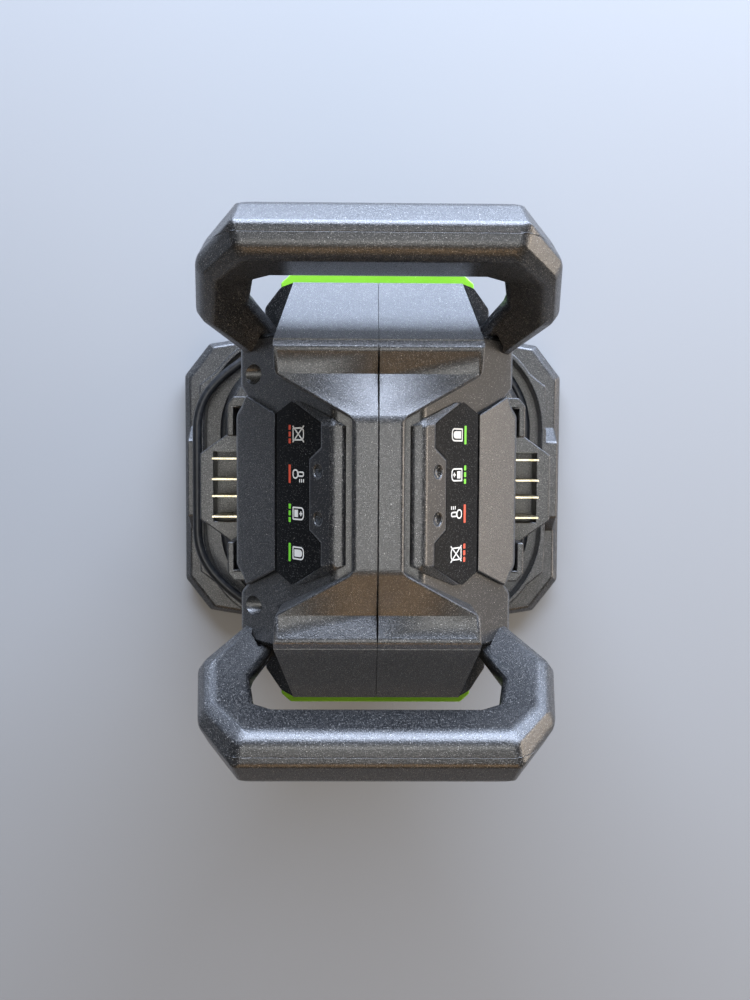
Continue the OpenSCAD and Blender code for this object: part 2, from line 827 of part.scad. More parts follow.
module handle_screws() color(steel) handle_screw_places() {
    cylinder(d = handle_screw_d, h = handle_screw_length);
    translate([0, 0, -screw_head_height])
        cylinder(d = handle_screw_d * screw_head_ratio, h = screw_head_height);
}

// Docks

shelf_outline = two_halves([[wall_x, half_d * shelf_shares[0]],
    [wall_x + waist_depth, half_d * shelf_shares[1]], [wall_x + shelf_depth, half_d * shelf_shares[2]]]);
notch_a = [half_w * tower_shares[6].x, half_d * tower_shares[6].y];
notch_b = [half_w * tower_shares[7].x, half_d * tower_shares[7].y];
notch_c = [wall_x, half_d * tower_shares[8].y];
notch_d = notch_b + (notch_c - notch_b) * rail_end_share;
lip_x = wall_x + rail_slot;

module rail_outline() {
    polygon([notch_a, [lip_x, notch_a.y], [lip_x + rail_lip, notch_a.y - rail_web],
        [lip_x + rail_lip, notch_a.y - rail_web - rail_lip_length],
        [lip_x, notch_a.y - rail_web - rail_lip_length],
        [lip_x, notch_d.y], notch_d, notch_b]);
}

module dock() {
    recess_z = shelf_top - recess_depth;
    difference() {
        union() {
            translate([0, 0, tower_foot]) linear_extrude(shelf_top - tower_foot) polygon(shelf_outline);
            for (s = [0, 1]) mirror([0, s, 0]) translate([0, 0, shelf_top - terminal_depth])
                linear_extrude(terminal_depth + rail_height) rail_outline();
        }
        translate([wall_x, -half_d * recess_share, recess_z])
            cube([recess_front, 2 * half_d * recess_share, shelf_top]);
        translate([0, 0, tower_foot + wall])
            linear_extrude(shelf_top - terminal_depth - tower_foot - wall)
            offset(delta = -wall) polygon(shelf_outline);
        contact_blades();
        dock_screw_places() cylinder(d = dock_screw_d, h = dock_screw_length);
    }
}

module contact_blades() {
    for (share = blade_shares)
        translate([wall_x + blade_inset, share * half_d - blade_thickness / 2,
            shelf_top - 2 * recess_depth + wall])
            cube([blade_length, blade_thickness, recess_depth - wall + blade_height]);
}

module right_dock() color(black) dock();
module left_dock() color(black) side(-1) dock();
module right_contact_blades() color(brass) contact_blades();
module left_contact_blades() color(brass) side(-1) contact_blades();
module dock_screws() color(steel) both_sides() dock_screw_places() {
    cylinder(d = dock_screw_d, h = dock_screw_length);
    translate([0, 0, -screw_head_height])
        cylinder(d = dock_screw_d * screw_head_ratio, h = screw_head_height);
}

// Legends and lights

module legend_plate() {
    legend_layer(0, -pocket_depth, plate_thickness - pocket_depth);
}

module lenses() {
    light_places() cylinder(d = light_d, h = light_length - light_recess);
}

module light_board() {
    on_field(0) translate([0, 0, -light_length - board_thickness / 2])
        cube([light_board_width, light_board_length, board_thickness], center = true);
}

module right_legend_plate() color("#1a1c1d") legend_plate();
module left_legend_plate() color("#1a1c1d") side(-1) legend_plate();
module right_light_lenses() color("#4a4d50") lenses();
module left_light_lenses() color("#4a4d50") side(-1) lenses();
module right_light_board() color("#2f5d3a") light_board();
module left_light_board() color("#2f5d3a") side(-1) light_board();

// Electronics on one upright board that spans the tower between its side walls

floor_in = tower_foot + wall;

module main_board() color("#2f5d3a")
    translate([wall - wall_x, board_y - board_thickness, floor_in])
        cube([2 * (wall_x - wall), board_thickness, board_height]);

core = [54, 30, 44];
core_leg = 10;
core_window = (core.x - 3 * core_leg) / 2;
core_z = floor_in + core_rise;

module transformer_core() color("#55585c") translate([-core.x / 2, board_y, core_z]) difference() {
    cube(core);
    for (x = [core_leg, core_window + 2 * core_leg])
        translate([x, -over, core_leg])
            cube([core_window, core.y + 2 * over, core.z - 2 * core_leg]);
}

module transformer_winding() color("#c9a13a") translate([-core.x / 2, board_y, core_z + core_leg]) {
    deep = core.y + core_leg;
    difference() {
        translate([core_leg, 0, 0]) cube([core.x - 2 * core_leg, deep, core.z - 2 * core_leg]);
        translate([core.x / 2 - core_leg / 2, -over, -over])
            cube([core_leg, core.y + over, core.z]);
    }
}

sink = [64, 22, 36];
sink_back = 4.4;
sink_fins = 7;
// Pitch of the fins over their thickness.
sink_ratio = 3;
sink_z = core_z + core.z + sink_gap;

module heat_sink() color("#a9adb1") translate([-sink.x / 2, board_y, sink_z]) {
    fin = sink.x / (sink_ratio * (sink_fins - 1) + 1);
    cube([sink.x, sink_back, sink.z]);
    for (i = [0:sink_fins - 1]) translate([sink_ratio * i * fin, 0, 0]) cube([fin, sink.y, sink.z]);
}

can_d = 22;
can_length = 36;
can_rows = 3;
can_step = 28.6;

module capacitors() color("#30343c") {
    for (i = [0:can_rows - 1]) {
        for (s = [-1, 1])
            translate([s * (core.x / 2 + can_d), board_y, core_z + can_d / 2 + i * can_step])
                rotate([-90, 0, 0]) cylinder(d = can_d, h = can_length);
    }
}

module input_fuse() color("#d8dadc")
    translate([-wall_x / 2, board_y - board_thickness - wall, floor_in + fuse_rise]) rotate([0, 90, 0])
        cylinder(d = 2 * wall, h = fuse_length);

// Fan, blowing to the north slots

module fan_place() {
    translate([0, fan_y, floor_in + fan_side / 2]) rotate([-90, 0, 0]) children();
}

fan_bore = fan_side * bore_share;
hub_d = fan_side * hub_share;
strut = 3;
rotor_z = strut + fan_gap;

module fan_frame() color("#202224") fan_place() difference() {
    union() {
        difference() {
            translate([-fan_side / 2, -fan_side / 2, 0]) cube([fan_side, fan_side, fan_depth]);
            translate([0, 0, -over]) cylinder(d = fan_bore, h = fan_depth + 2 * over);
        }
        intersection() {
            cylinder(d = fan_side, h = strut);
            for (turn = [45, 135]) rotate([0, 0, turn])
                translate([-fan_side, -strut, 0]) cube([2 * fan_side, 2 * strut, strut]);
        }
        cylinder(d = hub_d, h = strut);
    }
    translate([0, 0, -over]) cylinder(d = shaft_d + 2 * shaft_play, h = fan_depth);
}

module fan_rotor() color("#202224") fan_place() {
    long = fan_depth - rotor_z - fan_gap;
    translate([0, 0, rotor_z]) cylinder(d = hub_d, h = long);
    translate([0, 0, fan_gap]) cylinder(d = shaft_d, h = rotor_z);
    intersection() {
        translate([0, 0, rotor_z]) cylinder(d = fan_bore - 2 * fan_gap, h = long);
        for (i = [0:fan_blades - 1]) rotate([0, 0, 360 * i / fan_blades])
            translate([hub_d * blade_root_share, 0, rotor_z + long / 2]) rotate([blade_twist, 0, 0])
            translate([0, -fan_gap, -fan_depth]) cube([fan_side, 2 * fan_gap, 2 * fan_depth]);
    }
}

base_plate();
base_feet();
base_screws();
cord_drum();
strain_relief();
power_cord();
power_plug();
plug_blades();
plug_clip();
left_housing();
right_housing();
housing_screws();
north_trim();
south_trim();
north_handle_frame();
north_handle_cover();
south_handle_frame();
south_handle_cover();
handle_screws();
left_dock();
right_dock();
dock_screws();
left_contact_blades();
right_contact_blades();
left_legend_plate();
right_legend_plate();
left_light_lenses();
right_light_lenses();
left_light_board();
right_light_board();
main_board();
transformer_core();
transformer_winding();
heat_sink();
capacitors();
input_fuse();
fan_frame();
fan_rotor();
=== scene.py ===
"""Twin-port tower battery charger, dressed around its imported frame.

X runs across the two docks, Y from handle to handle and Z up, all in metres. The moulded pieces start
from the frame's own solids, which get rounded mould edges. The cord with its strain relief and plug, and
the printed signs of the legends, are modelled here. The pieces inside keep the frame's meshes.
"""

import logging
import math
from dataclasses import dataclass, field
from enum import Enum
from functools import cache
from typing import Callable, Sequence

import bmesh
import bpy
from mathutils import Matrix, Vector


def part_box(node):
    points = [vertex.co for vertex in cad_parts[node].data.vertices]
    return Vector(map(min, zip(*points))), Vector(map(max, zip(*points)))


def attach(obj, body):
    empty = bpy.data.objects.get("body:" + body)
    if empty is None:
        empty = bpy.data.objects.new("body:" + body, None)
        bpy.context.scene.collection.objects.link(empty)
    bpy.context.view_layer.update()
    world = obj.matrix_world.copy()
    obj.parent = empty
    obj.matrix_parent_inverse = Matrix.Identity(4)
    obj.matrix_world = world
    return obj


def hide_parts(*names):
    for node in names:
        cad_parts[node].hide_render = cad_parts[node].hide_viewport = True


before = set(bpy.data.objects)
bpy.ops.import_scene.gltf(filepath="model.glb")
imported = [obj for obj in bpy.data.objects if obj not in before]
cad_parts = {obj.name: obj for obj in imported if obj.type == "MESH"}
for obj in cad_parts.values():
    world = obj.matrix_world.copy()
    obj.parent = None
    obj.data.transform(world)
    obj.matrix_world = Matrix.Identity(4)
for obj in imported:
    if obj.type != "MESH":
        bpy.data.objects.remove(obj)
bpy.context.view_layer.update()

LOG = logging.getLogger("charger")
MM = 0.001
BODY = "charger"
# Cosine past which two directions count as one
ALIGNED = 0.999
# Millimetres within which places are near each other, corners are one, and a corner is on a plane
NEAR = 0.1
MERGED = 0.01
EXACT = 0.002
# Degrees below which the fold between two triangles is flat
FLAT = 0.6

Object = bpy.types.Object
Material = bpy.types.Material
Tree = bpy.types.NodeTree
Socket = bpy.types.NodeSocket
Edge = bmesh.types.BMEdge
Face = bmesh.types.BMFace
Pair = tuple[float, float]
Point = tuple[float, float, float]


# Finishes


def linear(colour: str) -> tuple[float, float, float, float]:
    """Turns an sRGB hex colour into linear red, green, blue and an alpha of one."""
    parts = [int(colour[i : i + 2], 16) / 255 for i in (1, 3, 5)]
    return (*[p / 12.92 if p <= 0.04045 else ((p + 0.055) / 1.055) ** 2.4 for p in parts], 1.0)


def add_node(tree: Tree, kind: str, settings: dict | None = None, **links) -> bpy.types.Node:
    """Adds a node with its settings, socket values and links.

    Args:
        tree: The material's or world's node tree.
        kind: The node's type name.
        settings: Its properties; a key of a socket's name or number sets that socket.
        **links: Socket name, with underscores for spaces, to the output that feeds it.

    Returns:
        The new node.
    """
    node = tree.nodes.new(kind)
    for key, value in (settings or {}).items():
        if isinstance(key, int) or (key in node.inputs and not hasattr(node, key)):
            node.inputs[key].default_value = value
        else:
            setattr(node, key, value)
    for key, output in links.items():
        tree.links.new(output, node.inputs[int(key[1:]) if key[1:].isdigit() else key.replace("_", " ")])
    return node


def noise(tree: Tree, place: Socket, per_m: float, detail: float) -> Socket:
    """Adds a noise with so many waves to a metre."""
    node = add_node(tree, "ShaderNodeTexNoise", {"Scale": per_m, "Detail": detail}, Vector=place)
    return node.outputs["Fac"]


def ranged(tree: Tree, value: Socket, source: Pair, target: Pair = (0.0, 1.0)) -> Socket:
    """Maps a value from one range to another."""
    ends = {"From Min": source[0], "From Max": source[1], "To Min": target[0], "To Max": target[1]}
    return add_node(tree, "ShaderNodeMapRange", ends, Value=value).outputs["Result"]


def mixed(tree: Tree, factor: Socket, first: str | Socket, second: str) -> Socket:
    """Mixes two colours.

    Args:
        tree: The material's node tree.
        factor: Nought for the first colour, one for the second.
        first: A hex colour, or the socket that gives the colour.
        second: A hex colour.

    Returns:
        The socket that gives the mixed colour.
    """
    settings = {"data_type": "RGBA", 7: linear(second)}
    links = {"Factor": factor}
    if isinstance(first, str):
        settings[6] = linear(first)
    else:
        links["_6"] = first
    return add_node(tree, "ShaderNodeMix", settings, **links).outputs[2]


@dataclass(frozen=True)
class Finish:
    """What every finish shares: two shades, and a fine texture that shows in roughness and bump."""

    colour: str
    patches: str
    roughness: float = 0.38
    rough_spread: Pair = (-0.08, 0.1)
    patch_range: Pair = (0.3, 0.75)
    grain_mm: float = 0.5
    grain_range: Pair = (0.25, 0.75)
    grain_depth_mm: float = 0.3
    grain_strength: float = 0.6
    ior: float = 1.52
    gloss: float = 0.5
    metallic: float = 0.0

    def pattern(self, tree: Tree, place: Socket) -> tuple[Socket, Socket]:
        """Draws the finish's own pattern and gives its colour and its fine texture."""
        raise NotImplementedError

    def build(self, name: str) -> Material:
        """Makes the material.

        Args:
            name: Its name.

        Returns:
            The finished material.
        """
        material = bpy.data.materials.new(name)
        material.use_nodes = True
        tree = material.node_tree
        tree.nodes.clear()
        colour, grain = self.pattern(tree, tree.nodes.new("ShaderNodeTexCoord").outputs["Object"])
        low, high = [self.roughness + change for change in self.rough_spread]
        depth = {"Strength": self.grain_strength, "Distance": self.grain_depth_mm * MM}
        shader = add_node(
            tree, "ShaderNodeBsdfPrincipled",
            {"IOR": self.ior, "Specular IOR Level": self.gloss, "Metallic": self.metallic},
            Base_Color=colour, Roughness=ranged(tree, grain, self.grain_range, (low, high)),
            Normal=add_node(tree, "ShaderNodeBump", depth, Height=grain).outputs["Normal"],
        )
        add_node(tree, "ShaderNodeOutputMaterial", Surface=shader.outputs["BSDF"])
        return material


@dataclass(frozen=True)
class MouldedPlastic(Finish):
    """A moulded or coated surface: slow changes of tone, a fine grain with painted glints, and light dust.
    """

    # The grain of an eroded mould is a tenth or two of a millimetre across, and its glints are finer.
    # Both are drawn coarser, at about half a millimetre, which is one pixel on the tower's top, and
    # some of the finishes draw the grain coarser still.
    clouds_per_m: float = 38.0
    # The glints are painted highlights: pale dots mixed into the colour, which show in light and shade
    # alike.
    glint_mm: float = 0.52
    glint_share: float = 0.7
    glint_radius: float = 0.42
    glint: str = "#a19f9b"
    speck_mm: float = 1.6
    speck_share: float = 0.4
    speck_radius: float = 0.17
    speck: str = "#c4c1ba"

    def dots(self, tree: Tree, place: Socket, size_mm: float, share: float, radius: float) -> Socket:
        """Scatters dots of uneven strength.

        Args:
            tree: The material's node tree.
            place: The object coordinates.
            size_mm: Distance from dot to dot.
            share: Share of the places that hold a dot.
            radius: Radius of a dot as a share of that distance.

        Returns:
            The socket that gives the dots, from nought to one.
        """
        cell = add_node(tree, "ShaderNodeTexVoronoi", {"Scale": 1 / (size_mm * MM)}, Vector=place)
        near = ranged(tree, cell.outputs["Distance"], (radius, radius / 2))
        chance = add_node(tree, "ShaderNodeSeparateColor", Color=cell.outputs["Color"])
        few = ranged(tree, chance.outputs["Red"], (1 - share, 1.0))
        both = add_node(tree, "ShaderNodeMath", {"operation": "MULTIPLY"}, _0=near, _1=few)
        return both.outputs["Value"]

    def pattern(self, tree: Tree, place: Socket) -> tuple[Socket, Socket]:
        """Draws clouds, painted glints and dust specks over each other, and the grain.

        Args:
            tree: The material's node tree.
            place: The object coordinates.

        Returns:
            The colour and the grain.
        """
        cloud = ranged(tree, noise(tree, place, self.clouds_per_m, detail=3.0), self.patch_range)
        shade = mixed(tree, cloud, self.colour, self.patches)
        glints = self.dots(tree, place, self.glint_mm, self.glint_share, self.glint_radius)
        dust = self.dots(tree, place, self.speck_mm, self.speck_share, self.speck_radius)
        # Painted glints, and then dust specks, are mixed over the clouds.
        dust_and_painted_glints = mixed(tree, dust, mixed(tree, glints, shade, self.glint), self.speck)
        return dust_and_painted_glints, noise(tree, place, 1 / (self.grain_mm * MM), detail=2.0)


@dataclass(frozen=True)
class Elastomer(Finish):
    """Soft PVC or rubber: an even dark shade with faint patches of wear, and no glints."""

    rough_spread: Pair = (0.0, 0.2)
    patch_range: Pair = (0.42, 0.8)
    grain_mm: float = 2.4
    grain_range: Pair = (0.3, 0.7)
    grain_depth_mm: float = 0.05
    grain_strength: float = 0.25
    ior: float = 1.51

    def pattern(self, tree: Tree, place: Socket) -> tuple[Socket, Socket]:
        """Draws the patches of wear, which are also the fine texture."""
        scuff = noise(tree, place, 1 / (self.grain_mm * MM), detail=4.0)
        return mixed(tree, ranged(tree, scuff, self.patch_range), self.colour, self.patches), scuff


@dataclass(frozen=True)
class WorkedMetal(Finish):
    """Rolled, plated or drawn metal: stretched fine lines in its roughness and a little tarnish."""

    # Real rolling and tool lines are finer than a tenth of a millimetre, and are drawn coarser here.
    roughness: float = 0.3
    rough_spread: Pair = (-0.08, 0.15)
    patch_range: Pair = (0.45, 0.7)
    grain_range: Pair = (0.3, 0.7)
    grain_depth_mm: float = 0.02
    grain_strength: float = 0.2
    ior: float = 1.5
    metallic: float = 1.0
    stretch: Point = (1.0, 1.0, 0.06)
    patches_per_m: float = 210.0

    def pattern(self, tree: Tree, place: Socket) -> tuple[Socket, Socket]:
        """Draws patches of tarnish, and lines that run along the height.

        Args:
            tree: The material's node tree.
            place: The object coordinates.

        Returns:
            The colour and the lines.
        """
        along = add_node(tree, "ShaderNodeMapping", {"Scale": self.stretch}, Vector=place)
        lines = noise(tree, along.outputs["Vector"], 1 / (self.grain_mm * MM), detail=3.0)
        patch = ranged(tree, noise(tree, place, self.patches_per_m, detail=4.0), self.patch_range)
        return mixed(tree, patch, self.colour, self.patches), lines


class Colour(Enum):
    """The finishes, each with its material's name."""

    BLACK = "black_abs"
    WINDOW = "polished_black_abs"
    FIN = "coarse_abs_painted_shade"
    LIME = "lime_abs"
    RUBBER = "black_rubber"
    CORD = "black_pvc"
    BRASS = "tinned_brass"
    STEEL = "zinc_plated_steel"
    FILM = "printed_polyester_film"
    WHITE = "white_ink"
    RED = "red_ink"
    GREEN = "green_ink"
    LENS = "smoked_polycarbonate"
    BOARD = "green_glass_epoxy"
    FERRITE = "sintered_ferrite"
    TAPE = "polyester_tape"
    ALUMINIUM = "milled_aluminium"
    SLEEVE = "capacitor_sleeve"
    CERAMIC = "glazed_ceramic"


def ink(colour: str, pale: str, speck: str) -> MouldedPlastic:
    """Screen ink: a flat opaque colour that stays dull, on a film too thin to show a grain."""
    return MouldedPlastic(
        colour, pale, roughness=0.5, grain_depth_mm=0.03, glint_share=0.0, speck_share=0.05, speck=speck
    )


FINISHES: dict[Colour, Finish] = {
    # ABS from an eroded mould: dark, with a broad soft sheen and fine painted glints.
    Colour.BLACK: MouldedPlastic("#17181a", "#202123", roughness=0.3, grain_depth_mm=0.22, gloss=0.9),
    # ABS from a polished part of the mould: an even dark grey, with few painted glints and a weaker sheen.
    Colour.WINDOW: MouldedPlastic(
        "#1c1d1f", "#232426", roughness=0.36, grain_depth_mm=0.05, glint_share=0.3, speck_share=0.25,
        gloss=0.4,
    ),
    # ABS with a coarser grain and almost no sheen, in a colour near black that paints the shade on the fins
    # beside the end panels.
    Colour.FIN: MouldedPlastic(
        "#08090a", "#0c0d0e", roughness=0.7, grain_mm=1.1, grain_depth_mm=0.4, glint_share=0.25,
        speck_share=0.12, gloss=0.1,
    ),
    # Pigmented ABS: a strong even lime with a narrow sheen.
    Colour.LIME: MouldedPlastic(
        "#84cd2a", "#90d838", roughness=0.34, grain_depth_mm=0.08, glint_share=0.2, glint="#b4ec6a",
        speck_share=0.1, speck="#c9f58e",
    ),
    # Filled rubber: dull charcoal that shows hardly any highlight.
    Colour.RUBBER: Elastomer("#18191a", "#26272a", roughness=0.6),
    # Soft PVC: black, with a clear highlight along the cord.
    Colour.CORD: Elastomer("#131416", "#202225", roughness=0.3),
    # Tinned brass: a pale metal with a warm tint.
    Colour.BRASS: WorkedMetal("#e3d9bd", "#c9b98e", roughness=0.3),
    # Zinc on steel: a cool grey metal with cloudy patches.
    Colour.STEEL: WorkedMetal("#b9bcc0", "#8d9196", roughness=0.36),
    # Polyester film: close to black and smooth, with a weak but sharp mirror image.
    Colour.FILM: MouldedPlastic(
        "#0d0e0f", "#111213", roughness=0.1, grain_mm=0.7, grain_depth_mm=0.02, glint_share=0.3,
        speck_share=0.12, glint="#6d6c69", speck="#8d8b88", gloss=0.14,
    ),
    Colour.WHITE: ink("#d9d8d2", "#e6e5e0", "#9a9994"),
    Colour.RED: ink("#d1492f", "#db5638", "#8c3526"),
    Colour.GREEN: ink("#6fd02c", "#7cdc3a", "#478a1d"),
    # Smoked polycarbonate: a glassy grey with a small bright highlight.
    Colour.LENS: MouldedPlastic(
        "#3a3c3f", "#45484b", roughness=0.12, grain_depth_mm=0.01, glint_share=0.0, speck_share=0.05,
        ior=1.585,
    ),
    # Glass epoxy under solder mask: an even green with a satin sheen and a few yellow specks.
    Colour.BOARD: MouldedPlastic(
        "#2f5d3a", "#376a43", roughness=0.35, grain_mm=1.4, speck_share=0.05, speck="#b9a25a"
    ),
    # Sintered ferrite: fired, dull and graphite grey.
    Colour.FERRITE: MouldedPlastic("#4a4c50", "#57595d", roughness=0.6, grain_mm=1.6),
    # Polyester tape: amber, with a soft sheen.
    Colour.TAPE: MouldedPlastic("#c79a2f", "#d3a83f", roughness=0.3, grain_mm=4.0),
    # Milled aluminium: a bright neutral metal with fine lines.
    Colour.ALUMINIUM: WorkedMetal("#cfd2d5", "#b6b9bd", roughness=0.34),
    # Shrunk PVC sleeve: dark blue grey and smooth.
    Colour.SLEEVE: MouldedPlastic("#2b303a", "#343a46", roughness=0.28, grain_depth_mm=0.03),
    # Glazed ceramic: off-white with a clear highlight.
    Colour.CERAMIC: MouldedPlastic("#d6d3c8", "#e2dfd5", roughness=0.22, grain_depth_mm=0.03),
}


@cache
def finish(colour: Colour) -> Material:
    """Gives the material of a finish, made the first time it is asked for."""
    return FINISHES[colour].build(colour.value)


# Making and shaping meshes


def pick_only(piece: Object | None) -> None:
    """Selects one object, or none, and makes it the active one.

    Args:
        piece: The object to select.
    """
    if bpy.context.object is not None and bpy.context.object.mode != "OBJECT":
        bpy.ops.object.mode_set(mode="OBJECT")
    for other in bpy.context.selected_objects:
        other.select_set(False)
    bpy.context.view_layer.objects.active = piece
    if piece is not None:
        piece.select_set(True)


def dress(piece: Object, name: str, colour: Colour, body: str = BODY) -> Object:
    """Names a finished piece, gives it its material and lets it ride on its body.

    Args:
        piece: The piece.
        name: Its name.
        colour: Its finish.
        body: The body that it moves with.

    Returns:
        The same piece.
    """
    piece.name = name
    piece.data.name = name
    piece.data.materials.clear()
    piece.data.materials.append(finish(colour))
    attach(piece, body)
    LOG.info("%s in %s on %s", name, colour.value, body)
    return piece


def select(piece: Object, kind: str, wanted: Callable[[Edge | Face], bool]) -> None:
    """Selects the edges or faces that a test accepts.

    Args:
        piece: The piece, active and in edit mode.
        kind: Either "edges" or "faces".
        wanted: The test.
    """
    mesh = bmesh.from_edit_mesh(piece.data)
    bpy.ops.mesh.select_all(action="DESELECT")
    for part in [part for part in getattr(mesh, kind) if wanted(part)]:
        part.select_set(True)
    bmesh.update_edit_mesh(piece.data)


def faces_way(face: Face, way: Vector) -> bool:
    """Tells whether a face looks in a direction."""
    return face.normal.dot(way) > ALIGNED


def span(low: Sequence[float], high: Sequence[float]) -> tuple[list[float], list[float]]:
    """Gives the middle and the size, in metres, of what lies between two corners in millimetres."""
    return [(a + b) / 2 * MM for a, b in zip(low, high)], [(b - a) * MM for a, b in zip(low, high)]


def smooth(piece: Object, angle: float = 32.0) -> None:
    """Shades a piece smooth, except at its sharp edges.

    Args:
        piece: The piece.
        angle: The angle in degrees past which an edge is sharp.
    """
    pick_only(piece)
    bpy.ops.object.shade_smooth()
    bpy.ops.object.mode_set(mode="EDIT")
    least = math.radians(angle)
    select(piece, "edges", lambda edge: len(edge.link_faces) != 2 or edge.calc_face_angle(0.0) > least)
    bpy.ops.mesh.mark_sharp()
    bpy.ops.object.mode_set(mode="OBJECT")


def settle(piece: Object) -> None:
    """Puts a piece's place, turn and scale into its mesh."""
    pick_only(piece)
    bpy.ops.object.transform_apply(location=True, rotation=True, scale=True)


def merged_copy(
    node: str, cut_faces: Callable[[Face], bool] | None = None, cuts: Sequence[tuple[Vector, Vector]] = ()
) -> Object:
    """Copies a frame node's mesh into a new object, with its loose triangles joined into whole faces.

    Args:
        node: The node's name.
        cut_faces: Picks the faces that the cuts go through.
        cuts: Planes, each as a point and a direction, along which those faces stay apart.

    Returns:
        The new object, at the origin.
    """
    piece = bpy.data.objects.new(node + "_dressed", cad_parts[node].data.copy())
    bpy.context.scene.collection.objects.link(piece)
    pick_only(piece)
    bpy.ops.object.mode_set(mode="EDIT")
    bpy.ops.mesh.select_all(action="SELECT")
    bpy.ops.mesh.remove_doubles(threshold=MERGED * MM)
    for point, way in cuts:
        select(piece, "faces", cut_faces)
        bpy.ops.mesh.bisect(plane_co=point, plane_no=way)
        select(
            piece, "edges",
            lambda edge: all(abs((end.co - point).dot(way)) < EXACT * MM for end in edge.verts)
            and any(cut_faces(face) for face in edge.link_faces),
        )
        bpy.ops.mesh.mark_seam()
    bpy.ops.mesh.select_all(action="SELECT")
    bpy.ops.mesh.dissolve_limited(angle_limit=math.radians(FLAT), delimit={"SEAM"})
    bpy.ops.object.mode_set(mode="OBJECT")
    return piece


@dataclass(frozen=True)
class Rounding:
    """How the corners of a moulding are rounded. Sizes are in millimetres, angles in degrees."""

    width: float
    least: float = 3.0
    angle: float = 14.0
    steps: int = 4
    room_share: float = 0.42
    least_room: float = 1.6
    side_cos: float = 0.9
    parting_play: float = 0.02
    parting_axis: int = 0
    parting_at: float = -1.0
    parting_width: float = 0.35

    def on_parting(self, edge: Edge) -> bool:
        """Tells whether an edge lies in the plane where two mouldings meet."""
        off = [abs(abs(end.co[self.parting_axis]) / MM - self.parting_at) for end in edge.verts]
        return max(off) < self.parting_play

    def share(self, edge: Edge) -> float:
        """Works out how much of the full width one edge gets.

        Args:
            edge: The edge.

        Returns:
            From nought, for an edge that stays sharp, to one.
        """
        folded = len(edge.link_faces) == 2 and edge.calc_face_angle(0.0) > math.radians(self.angle)
        if not folded or not edge.is_convex or edge.calc_length() < self.least * MM:
            return 0.0
        way = (edge.verts[1].co - edge.verts[0].co).normalized()
        beside = [
            other for end in edge.verts for other in end.link_edges
            if abs(way.dot((other.verts[1].co - other.verts[0].co).normalized())) < self.side_cos
        ]
        room = min((other.calc_length() for other in beside), default=1.0) / MM
        if room < self.least_room:
            return 0.0
        width = self.parting_width if self.on_parting(edge) else self.width
        return min(width, room * self.room_share) / self.width


def round_edges(piece: Object, rounding: Rounding) -> None:
    """Rounds the long corners of a piece, as a mould does, and keeps its flat faces flat.

    Args:
        piece: The piece.
        rounding: The sizes of the rounding.
    """
    pick_only(piece)
    piece.data.attributes.new("bevel_weight_edge", "FLOAT", "EDGE")
    mesh = bmesh.new()
    mesh.from_mesh(piece.data)
    layer = mesh.edges.layers.float["bevel_weight_edge"]
    for edge in mesh.edges:
        edge[layer] = rounding.share(edge)
    mesh.to_mesh(piece.data)
    mesh.free()
    bevel = piece.modifiers.new("mould_radius", "BEVEL")
    bevel.limit_method = "WEIGHT"
    bevel.width = rounding.width * MM
    bevel.segments = rounding.steps
    bevel.use_clamp_overlap = False
    bevel.miter_outer = "MITER_ARC"
    bpy.ops.object.modifier_apply(modifier=bevel.name)
    smooth(piece, angle=40.0)
    flat = piece.modifiers.new("flat_faces", "WEIGHTED_NORMAL")
    flat.keep_sharp = True
    bpy.ops.object.modifier_apply(modifier=flat.name)


def box_piece(low: Point, high: Point, edge_mm: float = 0.0, steps: int = 2) -> Object:
    """Makes a block with rounded edges from its two corners, in millimetres.

    Args:
        low: The lowest corner.
        high: The highest corner.
        edge_mm: Radius of the rounded edges.
        steps: How many facets make the rounding.

    Returns:
        The block, at the origin.
    """
    pick_only(None)
    middle, size = span(low, high)
    bpy.ops.mesh.primitive_cube_add(size=1, location=middle, scale=size)
    piece = bpy.context.object
    settle(piece)
    if edge_mm > 0:
        bpy.ops.object.mode_set(mode="EDIT")
        bpy.ops.mesh.select_all(action="SELECT")
        bpy.ops.mesh.bevel(offset=edge_mm * MM, segments=steps, affect="EDGES")
        bpy.ops.object.mode_set(mode="OBJECT")
    smooth(piece)
    return piece


def joined(pieces: Sequence[Object]) -> Object:
    """Joins several pieces into the first of them.

    Args:
        pieces: The pieces.

    Returns:
        The first piece, which now holds them all.
    """
    pick_only(pieces[0])
    for piece in pieces[1:]:
        piece.select_set(True)
    if len(pieces) > 1:
        bpy.ops.object.join()
    return bpy.context.object


def tapered(start: Point, end: Point, start_mm: float, end_mm: float, sides: int = 32) -> Object:
    """Makes a straight round piece that tapers from one diameter to another, in millimetres.

    Args:
        start: Middle of its first end.
        end: Middle of its other end.
        start_mm: Diameter at the first end.
        end_mm: Diameter at the other end.
        sides: How many sides it has.

    Returns:
        The piece, at the origin.
    """
    pick_only(None)
    a, b = Vector(start) * MM, Vector(end) * MM
    bpy.ops.mesh.primitive_cone_add(
        vertices=sides, radius1=start_mm / 2 * MM, radius2=end_mm / 2 * MM, depth=(b - a).length,
        location=(a + b) / 2, rotation=(b - a).to_track_quat("Z", "Y").to_euler(),
    )
    piece = bpy.context.object
    settle(piece)
    smooth(piece)
    return piece


# Stage


